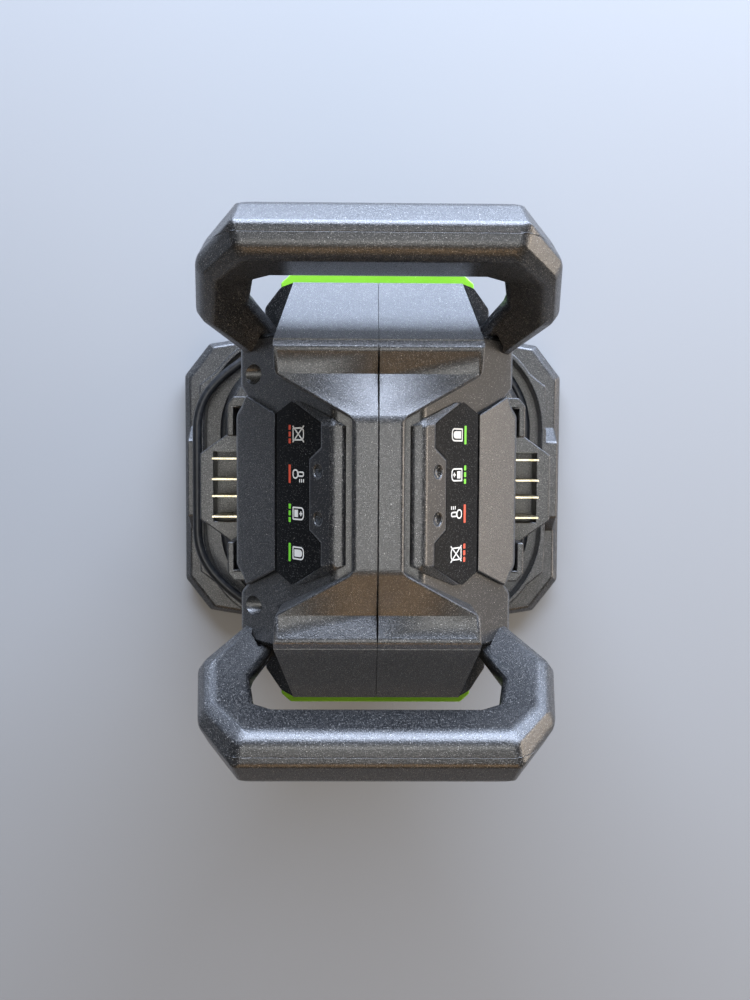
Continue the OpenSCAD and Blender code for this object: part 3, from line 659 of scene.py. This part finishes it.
@dataclass
class Stage:
    """Floor, lamps and the camera above the object."""

    camera_at: Point = (-0.0075, 0.0230, 0.750)
    aim: Point = (0.0023, -0.0181, 0.0)
    roll: float = 0.3
    focal_px: float = 920.0
    height_px: float = 1000.0
    clip_start: float = 0.01
    floor_size: float = 9.0
    floor_colour: str = "#9a9c9e"
    floor_roughness: float = 0.85
    sky_colour: str = "#f0eee9"
    sky_strength: float = 0.08
    lamp_aim: Point = (0.0, 0.0, 0.2)

    def camera(self) -> None:
        """Sets the camera where the photograph was taken from, looking down."""
        data = bpy.data.cameras.new("camera")
        data.sensor_fit = "AUTO"
        data.lens = data.sensor_width * self.focal_px / self.height_px
        data.clip_start = self.clip_start
        camera = bpy.data.objects.new("camera", data)
        bpy.context.scene.collection.objects.link(camera)
        ahead = (Vector(self.aim) - Vector(self.camera_at)).normalized()
        right = ahead.cross(Vector((0, 1, 0))).normalized()
        up = right.cross(ahead)
        turn = math.radians(self.roll)
        across = math.cos(turn) * right + math.sin(turn) * up
        upward = -math.sin(turn) * right + math.cos(turn) * up
        rows = [(across[i], upward[i], -ahead[i], self.camera_at[i]) for i in range(3)]
        camera.matrix_world = Matrix([*rows, (0, 0, 0, 1)])
        bpy.context.scene.camera = camera

    def floor(self) -> None:
        """Lays the plain pale floor."""
        pick_only(None)
        bpy.ops.mesh.primitive_plane_add(size=self.floor_size, location=(0, 0, 0))
        floor = bpy.context.object
        floor.name = "floor"
        material = bpy.data.materials.new("pale_floor")
        material.use_nodes = True
        shader = material.node_tree.nodes["Principled BSDF"]
        shader.inputs["Base Color"].default_value = linear(self.floor_colour)
        shader.inputs["Roughness"].default_value = self.floor_roughness
        floor.data.materials.append(material)

    def lamp(
        self, name: str, place: Point, wide: float, tall: float, brightness: float, colour: str
    ) -> None:
        """Adds a rectangular soft lamp that faces the object.

        Args:
            name: The lamp's name.
            place: Where it stands.
            wide: Its width.
            tall: Its height.
            brightness: How bright its face looks, where a white floor in plain light is one.
            colour: Its colour.
        """
        data = bpy.data.lights.new(name, "AREA")
        data.shape = "RECTANGLE"
        data.size = wide
        data.size_y = tall
        data.energy = brightness * math.pi * wide * tall
        data.color = linear(colour)[:3]
        lamp = bpy.data.objects.new(name, data)
        bpy.context.scene.collection.objects.link(lamp)
        lamp.location = place
        ahead = Vector(self.lamp_aim) - Vector(place)
        lamp.rotation_euler = ahead.to_track_quat("-Z", "Y").to_euler()

    def light(self) -> None:
        """Lights the object: cool and low from the north, soft from above, warm from the east and south."""
        # Each with its place, width, height, brightness and colour
        self.lamp("north_window", (0.3, 1.6, 0.37), 2.6, 0.6, 16.0, "#d3e3ff")
        self.lamp("north_skylight", (0.15, 1.4, 1.02), 2.0, 0.5, 19.0, "#dce8ff")
        self.lamp("top_softbox", (0.05, -0.08, 2.2), 1.3, 0.8, 4.6, "#fbfaf6")
        self.lamp("east_fill", (1.7, 0.1, 0.4), 1.4, 0.7, 6.5, "#ffeeda")
        self.lamp("south_fill", (0.1, -1.4, 1.2), 1.2, 0.5, 3.0, "#ffd3a2")
        world = bpy.data.worlds.new("studio")
        bpy.context.scene.world = world
        world.use_nodes = True
        ground = world.node_tree.nodes["Background"]
        ground.inputs["Color"].default_value = linear(self.sky_colour)
        ground.inputs["Strength"].default_value = self.sky_strength
        bpy.context.scene.view_settings.view_transform = "Standard"

    def build(self) -> None:
        """Builds the whole stage."""
        self.camera()
        self.floor()
        self.light()


# Legend fields


@dataclass(frozen=True)
class LegendField:
    """The plane of a sloping legend field and the film that lies in its pocket. Sizes in millimetres."""

    slope: float = 48.0
    foot_x: float = 52.0
    foot_z: float = 264.0
    film_depth: float = 0.6
    light_x: float = 30.4
    light_y: float = 11.988
    # Where the window starts near the crown's middle, and where it ends outwards
    least_x: float = 22.0
    window_x: float = 54.6

    @property
    def rate(self) -> float:
        """How far the field falls for each millimetre outwards."""
        return math.tan(math.radians(self.slope))

    def normal(self, side: int) -> Vector:
        """Gives the direction square to the field, on the west side for -1 and the east side for 1."""
        turn = math.radians(self.slope)
        return Vector((side * math.sin(turn), 0.0, math.cos(turn)))

    def foot(self, side: int) -> Vector:
        """Gives a point of the field, in metres."""
        return Vector((side * self.foot_x, 0.0, self.foot_z)) * MM

    def from_light(self, point: Vector, side: int) -> float:
        """Measures how far a point of the field is from the middle of the nearer light.

        Args:
            point: The point, in metres.
            side: -1 for the west side, 1 for the east side.

        Returns:
            The distance in millimetres.
        """
        y = math.copysign(self.light_y, point.y)
        z = self.foot(side).z / MM - self.rate * (self.light_x - self.foot_x)
        return (point / MM - Vector((side * self.light_x, y, z))).length

    def lay_on_film(self, piece: Object, side: int) -> None:
        """Moves a piece drawn flat at the origin onto the film.

        The piece's X is the way up the slope and its Y points north on the west side; on the east
        side everything is turned half round.

        Args:
            piece: The piece.
            side: -1 for the west side, 1 for the east side.
        """
        turn = math.radians(self.slope)
        up = Vector((-side * math.cos(turn), 0.0, math.sin(turn)))
        along = Vector((0.0, -float(side), 0.0))
        normal = self.normal(side)
        foot = self.foot(side) - normal * self.film_depth * MM
        rows = [(up[i], along[i], normal[i], foot[i]) for i in range(3)]
        piece.matrix_world = Matrix([*rows, (0, 0, 0, 1)])
        settle(piece)


FIELD = LegendField()


class Sign(Enum):
    """The four signs of a legend, in order from the north on the west side."""

    DEFECT = 30.8
    HOT = 10.2
    CHARGING = -10.2
    FULL = -30.8


@dataclass
class LegendPrint:
    """The signs printed on a legend film, without any lettering. Sizes are in millimetres."""

    bar_low: float = 7.8
    bar_high: float = 9.6
    bar_length: float = 9.6
    dash_gap: float = 0.9
    sign_low: float = 11.2
    sign_high: float = 20.6
    sign_width: float = 6.8
    line: float = 0.75
    ink_height: float = 0.06
    corner: float = 0.2
    battery_corners: Pair = (0.5, 2.4)
    charge_corner: float = 1.8
    charge_short: float = 0.2
    cross_longer: float = 1.0
    cross_wider: float = 1.6
    bulb_half: float = 2.5
    bulb_high: float = 4.6
    bulb_corner: float = 2.0
    stem_half: float = 1.4
    stem_lap: float = 0.2
    stem_corner: float = 1.2
    tick_start: float = 1.2
    tick_out: float = 3.4
    tick_step: float = 1.6
    tick_length: float = 1.8
    plus_rise: float = 2.2
    plus_length: float = 2.4

    def tile(
        self, low: Pair, high: Pair, foot: float = 0.3, top: float = 0.3, line: float = 0.0
    ) -> Object:
        """Prints a rectangle with round corners, filled or as an outline.

        Args:
            low: Its lowest corner: the way up the slope, and along.
            high: Its highest corner.
            foot: Radius of its lower corners.
            top: Radius of its upper corners.
            line: Width of the outline, or nought for a filled one.

        Returns:
            The print, flat at the origin.
        """
        pick_only(None)
        middle, size = span(low, high)
        bpy.ops.mesh.primitive_plane_add(size=1, location=(*middle, 0))
        tile = bpy.context.object
        tile.scale = (*size, 1)
        settle(tile)
        bpy.ops.object.mode_set(mode="EDIT")
        for upper, radius in ((False, foot), (True, top)):
            mesh = bmesh.from_edit_mesh(tile.data)
            bpy.ops.mesh.select_all(action="DESELECT")
            for vert in mesh.verts:
                end = high[0] if upper else low[0]
                vert.select_set(abs(vert.co.x / MM - end) < EXACT)
            bmesh.update_edit_mesh(tile.data)
            bpy.ops.mesh.bevel(offset=radius * MM, segments=4, affect="VERTICES")
        bpy.ops.mesh.select_all(action="SELECT")
        if line > 0:
            bpy.ops.mesh.inset(thickness=line * MM, use_even_offset=True)
            bpy.ops.mesh.delete(type="FACE")
            bpy.ops.mesh.select_all(action="SELECT")
        bpy.ops.mesh.extrude_region_move(TRANSFORM_OT_translate={"value": (0, 0, self.ink_height * MM)})
        bpy.ops.mesh.select_all(action="SELECT")
        bpy.ops.mesh.normals_make_consistent(inside=False)
        bpy.ops.object.mode_set(mode="OBJECT")
        return tile

    def stroke(self, middle: Pair, length: float, turn: float) -> Object:
        """Prints one straight stroke.

        Args:
            middle: Its middle.
            length: Its length.
            turn: Its turn about the middle, in degrees.

        Returns:
            The stroke, flat at the origin.
        """
        end = (length / 2, self.line / 2)
        stroke = self.tile((-end[0], -end[1]), end, self.corner, self.corner)
        stroke.rotation_euler = (0, 0, math.radians(turn))
        stroke.location = (middle[0] * MM, middle[1] * MM, 0)
        settle(stroke)
        return stroke

    def bar(self, at: float, dashes: int) -> list[Object]:
        """Prints the bar below a sign.

        Args:
            at: The sign's place along the film.
            dashes: How many pieces the bar is made of.

        Returns:
            The pieces.
        """
        step = (self.bar_length + self.dash_gap) / dashes
        starts = [at - self.bar_length / 2 + i * step for i in range(dashes)]
        return [self.tile((self.bar_low, y), (self.bar_high, y + step - self.dash_gap)) for y in starts]

    def battery(self, at: float) -> Object:
        """Prints the outline of a battery whose round end points up the slope.

        Args:
            at: The sign's place along the film.

        Returns:
            The outline, flat at the origin.
        """
        half = self.sign_width / 2
        low, high = (self.sign_low, at - half), (self.sign_high, at + half)
        return self.tile(low, high, *self.battery_corners, self.line)

    def sign(self, sign: Sign) -> list[Object]:
        """Prints one of the four signs.

        Args:
            sign: Which one.

        Returns:
            Its white pieces, flat at the origin.
        """
        at = sign.value
        middle = (self.sign_low + self.sign_high) / 2
        gap = 2 * self.line
        half = self.sign_width / 2 - gap
        if sign is Sign.HOT:
            top = self.sign_low + self.bulb_high
            low, high = (self.sign_low, at - self.bulb_half), (top, at + self.bulb_half)
            bulb = self.tile(low, high, self.bulb_corner, self.bulb_corner, self.line)
            low, high = (top - self.stem_lap, at - self.stem_half), (self.sign_high, at + self.stem_half)
            stem = self.tile(low, high, self.corner, self.stem_corner, self.line)
            steps = [middle + self.tick_start + self.tick_step * i for i in range(3)]
            ticks = [self.stroke((x, at - self.tick_out), self.tick_length, turn=90) for x in steps]
            return [bulb, stem, *ticks]
        if sign is Sign.DEFECT:
            tall = self.sign_high - self.sign_low
            reach = math.hypot(tall, self.sign_width) + self.cross_longer
            turn = math.degrees(math.atan2(self.sign_width + self.cross_wider, tall))
            return [self.battery(at), *[self.stroke((middle, at), reach, way) for way in (turn, -turn)]]
        low = (self.sign_low + gap, at - half)
        if sign is Sign.CHARGING:
            charge = self.tile(low, (middle - self.charge_short, at + half), self.corner, self.corner)
            plus = [self.stroke((middle + self.plus_rise, at), self.plus_length, way) for way in (0, 90)]
            return [self.battery(at), charge, *plus]
        charge = self.tile(low, (self.sign_high - gap, at + half), self.corner, self.charge_corner)
        return [self.battery(at), charge]

    def build(self) -> None:
        """Prints both legends in white, red and green ink."""
        for side, word in ((-1, "left"), (1, "right")):
            inks = {
                Colour.WHITE: [piece for sign in Sign for piece in self.sign(sign)],
                Colour.RED: self.bar(Sign.DEFECT.value, 3) + self.bar(Sign.HOT.value, 1),
                Colour.GREEN: self.bar(Sign.CHARGING.value, 3) + self.bar(Sign.FULL.value, 1),
            }
            for colour, parts in inks.items():
                printed = joined(parts)
                FIELD.lay_on_film(printed, side)
                dress(printed, f"{word}_legend_{colour.name.lower()}_print", colour)


@dataclass
class Lenses:
    """The dished lenses of the charge lights. Sizes are in millimetres."""

    # How far each ring lies inside the one before it, and how far below
    rings: tuple[Pair, ...] = ((0.3, 0.0), (0.5, 0.22), (0.7, 0.3), (0.8, 0.2))

    def build(self) -> None:
        """Dishes the outer end of every lens."""
        for side, word in ((-1, "left"), (1, "right")):
            node = f"{word}_light_lenses"
            lens = merged_copy(node)
            normal = FIELD.normal(side)
            bpy.ops.object.mode_set(mode="EDIT")
            select(lens, "faces", lambda face: faces_way(face, normal))
            for inwards, down in self.rings:
                bpy.ops.mesh.inset(thickness=inwards * MM, depth=-down * MM, use_individual=True)
            bpy.ops.object.mode_set(mode="OBJECT")
            smooth(lens, angle=50.0)
            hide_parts(node)
            dress(lens, f"{word}_dished_lenses", Colour.LENS)


@dataclass
class VisibleScrews:
    """The screws whose heads can be seen, with a six-lobe recess. Sizes are in millimetres."""

    lobes: int = 6
    swing: float = 0.14
    depth: float = 1.7
    rim: float = 0.5
    socket_share: float = 0.22
    socket_slope: float = 0.05
    # The diameter of the heads and the way that they look
    heads: dict[str, tuple[float, Point]] = field(default_factory=lambda: {
        "base_screws": (10.0, (0.0, 0.0, -1.0)),
        "housing_screws": (8.0, (-1.0, 0.0, 0.0)),
    })

    def build(self) -> None:
        """Sinks a recess into the head of every visible screw."""
        for node, (head_d, way) in self.heads.items():
            screws = merged_copy(node)
            outwards = Vector(way)
            reach = max(outwards.dot(vert.co) for vert in screws.data.vertices)
            bpy.ops.object.mode_set(mode="EDIT")
            select(
                screws, "faces",
                lambda face: faces_way(face, outwards)
                and outwards.dot(face.calc_center_median()) > reach - NEAR * MM,
            )
            for inwards in (self.rim, head_d * self.socket_share):
                bpy.ops.mesh.inset(thickness=inwards * MM, depth=0, use_individual=True)
            mesh = bmesh.from_edit_mesh(screws.data)
            for face in [f for f in mesh.faces if f.select]:
                middle = face.calc_center_median()
                across = outwards.orthogonal().normalized()
                up = outwards.cross(across)
                for vert in face.verts:
                    ray = vert.co - middle
                    turn = math.atan2(ray.dot(up), ray.dot(across))
                    vert.co = middle + ray * (1 + self.swing * math.cos(self.lobes * turn))
            bmesh.update_edit_mesh(screws.data)
            slope, depth = self.socket_slope * MM, -self.depth * MM
            bpy.ops.mesh.inset(thickness=slope, depth=depth, use_individual=True)
            bpy.ops.object.mode_set(mode="OBJECT")
            smooth(screws, angle=35.0)
            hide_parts(node)
            dress(screws, node + "_with_recess", Colour.STEEL)


# Mains cord


@dataclass
class MainsCord:
    """The cord wound on the drum, with its strain relief and plug.

    Sizes are in millimetres. Starts and runs are in quarter turns before the winding's end.
    """

    diameter: float = 7.0
    quarters: int = 10
    # How far inside the last turn the cord starts, and how far that turn bulges out on the west side
    wound_in: float = 20.5
    spread: float = 11.0
    lane_radius: float = 69.0
    lane_x: float = 126.5
    lane_y: float = 108.0
    lane_z: float = 23.85
    lift_z: float = 38.0
    plug_z: float = 41.0
    gland_face: float = 4.0
    gland_z: float = 24.25
    plug_tail: float = 2.0
    steps: int = 18
    lift_start: float = 2.6
    lift_run: float = 0.8
    spread_start: float = 1.8
    spread_run: float = 0.6
    return_run: float = 0.8
    relief_d: float = 8.5
    relief_block: float = 7.0
    relief_length: float = 21.0
    relief_ribs: int = 5
    relief_edge: float = 1.2
    tip_play: float = 0.5
    rib_start: float = 0.6
    rib_end: float = 0.4
    rib_half: float = 0.8
    rib_rise: float = 1.2
    rib_fall: float = 0.4
    neck_share: float = 0.34
    neck_lap: float = 2.0
    neck_d: float = 12.0
    neck_tip_play: float = 1.6
    neck_rib_d: Pair = (10.4, 9.8)
    neck_rib_growth: float = 0.5
    neck_rib_ends: Pair = (1.0, -0.6)
    plug_edge: float = 3.2
    grip_ribs: int = 5
    grip_start: float = 5.0
    grip_step: float = 3.2
    grip_width: float = 1.4
    grip_half: float = 4.5
    grip_rise: float = 0.5
    blade_mm: float = 1.5
    blade_edge: float = 0.5
    hole_d: float = 3.2
    hole_from_tip: float = 4.2
    # How far the drill passes a blade on either side
    overrun: float = 2.0

    def eased(self, share: float) -> float:
        """Eases a share from nought to one."""
        u = min(1.0, max(0.0, share))
        return u * u * (3 - 2 * u)

    def route(self) -> list[Point]:
        """Works out the cord's centreline, from the strain relief to the plug.

        Returns:
            Its points in metres.
        """
        inward = self.wound_in
        start = self.lane_y - inward
        points = [(self.gland_face - back, start, self.gland_z) for back in (0, self.diameter)]
        for k in range(self.quarters):
            cx = (1 if k % 4 in (2, 3) else -1) * (self.lane_x - self.lane_radius)
            cy = (1 if k % 4 in (0, 3) else -1) * (self.lane_y - self.lane_radius)
            for i in range(self.steps + 1):
                done = k + i / self.steps
                left = self.quarters - done
                turn = math.radians(90 + 90 * done)
                radius = self.lane_radius - inward * left / self.quarters
                spread = self.spread * self.eased((self.spread_start - left) / self.spread_run)
                out = spread * self.eased(left / self.return_run) * abs(math.cos(turn))
                lift = self.eased((self.lift_start - left) / self.lift_run)
                z = self.lane_z + (self.lift_z - self.lane_z) * lift
                z += (self.plug_z - self.lift_z) * self.eased(1 - left)
                points.append((cx + (radius + out) * math.cos(turn), cy + radius * math.sin(turn), z))
        points.append((-self.plug_tail - self.diameter, -self.lane_y, self.plug_z))
        points.append((-self.plug_tail, -self.lane_y, self.plug_z))
        return [(x * MM, y * MM, z * MM) for x, y, z in points]

    def lead(self) -> Object:
        """Makes the cord as one open spline.

        Returns:
            The cord.
        """
        route = self.route()
        curve = bpy.data.curves.new("mains_lead", "CURVE")
        curve.dimensions = "3D"
        curve.bevel_depth = self.diameter / 2 * MM
        curve.bevel_resolution = 4
        spline = curve.splines.new("POLY")
        spline.points.add(len(route) - 1)
        for point, place in zip(spline.points, route):
            point.co = (*place, 1)
        spline.use_smooth = True
        lead = bpy.data.objects.new("mains_lead", curve)
        bpy.context.scene.collection.objects.link(lead)
        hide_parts("power_cord")
        return dress(lead, "mains_lead", Colour.CORD)

    def relief(self) -> Object:
        """Makes the ribbed strain relief that tapers from its block on the drum onto the cord.

        Returns:
            The strain relief.
        """
        low, high = [[v / MM for v in corner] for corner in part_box("strain_relief")]
        y = self.lane_y - self.wound_in
        face = high[0] - self.relief_block
        block = box_piece((face, low[1], low[2]), high, self.relief_edge)
        tip = (face - self.relief_length, y, self.gland_z)
        parts = [block, tapered((face, y, self.gland_z), tip, self.relief_d, self.diameter + self.tip_play)]
        for i in range(self.relief_ribs):
            along = (i + self.rib_start) / (self.relief_ribs + self.rib_end)
            x = face - self.relief_length * along
            wide = self.relief_d + self.rib_rise - (self.relief_d - self.diameter) * along
            ends = [(x + reach, y, self.gland_z) for reach in (self.rib_half, -self.rib_half)]
            parts.append(tapered(*ends, wide, wide - self.rib_fall))
        relief = joined(parts)
        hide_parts("strain_relief")
        return dress(relief, "ribbed_strain_relief", Colour.CORD)

    def plug(self) -> Object:
        """Makes the moulded plug: a rounded body with finger grooves and a ribbed neck.

        Returns:
            The plug.
        """
        low, high = [[v / MM for v in corner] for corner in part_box("power_plug")]
        y, z = -self.lane_y, self.plug_z
        neck = (high[0] - low[0]) * self.neck_share
        body = box_piece((low[0] + neck, low[1], low[2]), high, self.plug_edge, steps=4)
        root = (low[0] + neck + self.neck_lap, y, z)
        parts = [body, tapered(root, (low[0], y, z), self.neck_d, self.diameter + self.neck_tip_play)]
        for i in range(self.relief_ribs - 1):
            x = low[0] + self.neck_lap + i * neck / self.relief_ribs
            wide, narrow = [d + i * self.neck_rib_growth for d in self.neck_rib_d]
            parts.append(tapered(*[(x + reach, y, z) for reach in self.neck_rib_ends], wide, narrow))
        for face in (low[1], high[1]):
            for i in range(self.grip_ribs):
                x = low[0] + neck + self.grip_start + i * self.grip_step
                foot = (x, face - self.grip_rise, z - self.grip_half)
                top = (x + self.grip_width, face + self.grip_rise, z + self.grip_half)
                parts.append(box_piece(foot, top, self.grip_rise))
        plug = joined(parts)
        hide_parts("power_plug")
        return dress(plug, "moulded_plug", Colour.CORD)

    def blades(self) -> Object:
        """Makes the plug's two flat blades, each with its round hole and a chamfered tip.

        Returns:
            The pair of blades.
        """
        low, high = [[v / MM for v in corner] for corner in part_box("plug_blades")]
        made = []
        for a, b in ((low[1], low[1] + self.blade_mm), (high[1] - self.blade_mm, high[1])):
            blade = box_piece((low[0], a, low[2]), (high[0], b, high[2]), self.blade_edge)
            x, z = high[0] - self.hole_from_tip, (low[2] + high[2]) / 2
            ends = (x, a - self.overrun, z), (x, b + self.overrun, z)
            hole = tapered(*ends, self.hole_d, self.hole_d, sides=24)
            cut = blade.modifiers.new("blade_hole", "BOOLEAN")
            cut.object = hole
            pick_only(blade)
            bpy.ops.object.modifier_apply(modifier=cut.name)
            bpy.data.objects.remove(hole)
            smooth(blade)
            made.append(blade)
        pair = joined(made)
        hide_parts("plug_blades")
        return dress(pair, "drilled_plug_blades", Colour.BRASS)

    def build(self) -> None:
        lead = self.lead()
        self.relief()
        plug = self.plug()
        blades = self.blades()
        route = self.route()


# Carried-over nodes


@dataclass
class Mouldings:
    """The rigid mouldings that keep the frame's own solids, with rounded mould edges."""

    plain: dict[str, Colour] = field(default_factory=lambda: {
        "base_feet": Colour.RUBBER,
        "plug_clip": Colour.BLACK,
        "handle_screws": Colour.STEEL,
        "dock_screws": Colour.STEEL,
        "left_contact_blades": Colour.BRASS,
        "right_contact_blades": Colour.BRASS,
        "left_legend_plate": Colour.FILM,
        "right_legend_plate": Colour.FILM,
        "left_light_board": Colour.BOARD,
        "right_light_board": Colour.BOARD,
        "main_board": Colour.BOARD,
        "transformer_core": Colour.FERRITE,
        "transformer_winding": Colour.TAPE,
        "heat_sink": Colour.ALUMINIUM,
        "capacitors": Colour.SLEEVE,
        "input_fuse": Colour.CERAMIC,
        "fan_frame": Colour.BLACK,
        "fan_rotor": Colour.BLACK,
    })
    windows: dict[str, int] = field(default_factory=lambda: {"left_housing": -1, "right_housing": 1})
    # The level strip above a legend block: its least distance from the middle, its height and its play
    strip: Point = (15.0, 296.0, 1.0)
    # The line on which a block's end starts to slope, from point to point, and how far out and down
    block_end: tuple[Pair, Pair] = ((23.19, 34.6), (42.48, 46.9))
    block_reach: float = 41.5
    block_drop: float = 2.7
    # What counts as beyond that line, and as further from the middle than its first point
    beyond: Pair = (0.02, 0.3)
    # The bores of the lights and the width of their countersink
    light_d: float = 6.4
    light_rim: float = 1.0
    # How squarely a face of the window looks out of the field
    window_cos: float = 0.995
    # The fins beside the end panels lie past this corner and look outwards at least this much
    fin_corner: Point = (45.0, 79.0, 226.0)
    fin_cos: float = 0.3
    # Half the gap between the housing halves, the tongue that closes it, and the handles' seam along Y
    seam: float = 0.15
    tongue_in: float = 0.6
    tongue_slope: float = 0.1
    tongue_rise: float = 0.26
    handle_seam: float = 123.345

    def housing_copy(self, node: str, side: int) -> Object:
        """Copies a housing half, with its legend field cut along its window and through its middle.

        Args:
            node: The half's node.
            side: -1 for the west half, 1 for the east half.

        Returns:
            The copy, with the holes of the two lights countersunk.
        """
        normal = FIELD.normal(side)
        level = FIELD.foot(side).dot(normal)

        def in_field(face: Face) -> bool:
            """Accepts the faces that lie in the legend field's plane."""
            off = abs(face.calc_center_median().dot(normal) - level)
            return faces_way(face, normal) and off < NEAR * MM

        def on_block(face: Face) -> bool:
            """Tells whether a face is on top of the legend block.

            Args:
                face: The face.

            Returns:
                True in its field and on the level strip above it.
            """
            middle = face.calc_center_median() / MM
            out, height, play = self.strip
            level = face.normal.z > ALIGNED and abs(middle.z - height) < play
            return (level and abs(middle.x) > out) or in_field(face)

        start, stop = [Vector((side * x, y, 0)) * MM for x, y in self.block_end]
        across = Vector(((stop - start).y, -(stop - start).x, 0)) * -side
        cuts = [
            (Vector((side * FIELD.window_x * MM, 0, 0)), Vector((1, 0, 0))),
            (Vector((0, 0, 0)), Vector((0, 1, 0))),
        ]
        for end in (1, -1):
            flip = Vector((1, end, 1))
            cuts += [(start * flip, across * flip), (start * flip, Vector((0, end, 0)))]
        piece = merged_copy(node, on_block, cuts)
        bpy.ops.object.mode_set(mode="EDIT")
        mesh = bmesh.from_edit_mesh(piece.data)
        tops = {vert for face in mesh.faces if on_block(face) for vert in face.verts}
        for vert in tops:
            folded = Vector((vert.co.x, abs(vert.co.y), 0)) - start
            past, outer = [play * MM for play in self.beyond]
            beyond = folded.dot(across) > past * across.length and folded.y > outer
            if beyond and abs(vert.co.x) < self.block_reach * MM:
                vert.co.z -= self.block_drop * MM
        bmesh.update_edit_mesh(piece.data)
        select(
            piece, "edges",
            lambda edge: any(in_field(face) for face in edge.link_faces)
            and all(FIELD.from_light(end.co, side) < self.light_d / 2 + NEAR for end in edge.verts),
        )
        bpy.ops.mesh.bevel(offset=self.light_rim * MM, segments=3, affect="EDGES")
        bpy.ops.object.mode_set(mode="OBJECT")
        return piece

    def tongue(self, piece: Object) -> None:
        """Raises a tongue inside the west half's parting face, so that no light passes between the halves.

        Args:
            piece: The west half, already rounded.
        """
        pick_only(piece)
        bpy.ops.object.mode_set(mode="EDIT")
        near = 2 * self.seam * MM
        select(
            piece, "faces",
            lambda face: face.normal.x > ALIGNED and abs(face.calc_center_median().x) < near,
        )
        bpy.ops.mesh.inset(thickness=self.tongue_in * MM, use_even_offset=False)
        slope, rise = self.tongue_slope * MM, self.tongue_rise * MM
        bpy.ops.mesh.inset(thickness=slope, depth=rise, use_even_offset=False)
        bpy.ops.object.mode_set(mode="OBJECT")

    def finish_areas(self, piece: Object, side: int) -> None:
        """Gives the legend window its own finish, and the four fins beside the end panels a near-black
        finish whose colour is painted shade.

        Args:
            piece: The housing half, already dressed.
            side: -1 for the west half, 1 for the east half.
        """
        normal = FIELD.normal(side)
        piece.data.materials.append(finish(Colour.WINDOW))
        piece.data.materials.append(finish(Colour.FIN))
        near, far = FIELD.least_x * MM, FIELD.window_x * MM
        x, y, z = (v * MM for v in self.fin_corner)
        for face in piece.data.polygons:
            middle = face.center
            out = side * middle.x
            if near < out < far and face.normal.dot(normal) > self.window_cos:
                face.material_index = 1
            elif out > x and abs(middle.y) > y and middle.z > z and side * face.normal.x > self.fin_cos:
                # Painted shade: the fins take the near-black finish.
                face.material_index = 2

    def roundings(self) -> dict[str, Rounding]:
        """Lists the mouldings that get rounded corners, in the order in which they are built.

        Returns:
            The rounding of every node.
        """
        housing = Rounding(width=2.6, parting_axis=0, parting_at=self.seam)
        handle = Rounding(width=4.5, parting_axis=1, parting_at=self.handle_seam)
        return {
            "base_plate": Rounding(width=1.4),
            "cord_drum": Rounding(width=1.4),
            **{f"{side}_housing": housing for side in ("left", "right")},
            **{f"{end}_handle_{half}": handle for half in ("frame", "cover") for end in ("north", "south")},
            **{f"{side}_dock": Rounding(width=0.9) for side in ("left", "right")},
            **{f"{end}_trim": Rounding(width=0.8) for end in ("north", "south")},
        }

    def build(self) -> None:
        """Dresses the nodes that stay and rounds the edges of those that need it."""
        for node, colour in self.plain.items():
            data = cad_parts[node].data
            data.materials.clear()
            data.materials.append(finish(colour))
            LOG.info("%s keeps its mesh, in %s", node, colour.value)
        for node, rounding in self.roundings().items():
            lime = node.endswith("_trim")
            side = self.windows.get(node)
            piece = self.housing_copy(node, side) if side else merged_copy(node)
            round_edges(piece, rounding)
            if side == -1:
                self.tongue(piece)
            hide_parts(node)
            colour, slot = (Colour.LIME, "lime_plastic") if lime else (Colour.BLACK, "black_plastic")
            dress(piece, node + "_moulding", colour)
            if side:
                self.finish_areas(piece, side)


def main() -> None:
    """Builds every piece in order."""
    logging.basicConfig(level=logging.INFO, format="%(message)s")
    Stage().build()
    MainsCord().build()
    Mouldings().build()
    LegendPrint().build()
    Lenses().build()
    VisibleScrews().build()


if __name__ == "__main__":
    main()
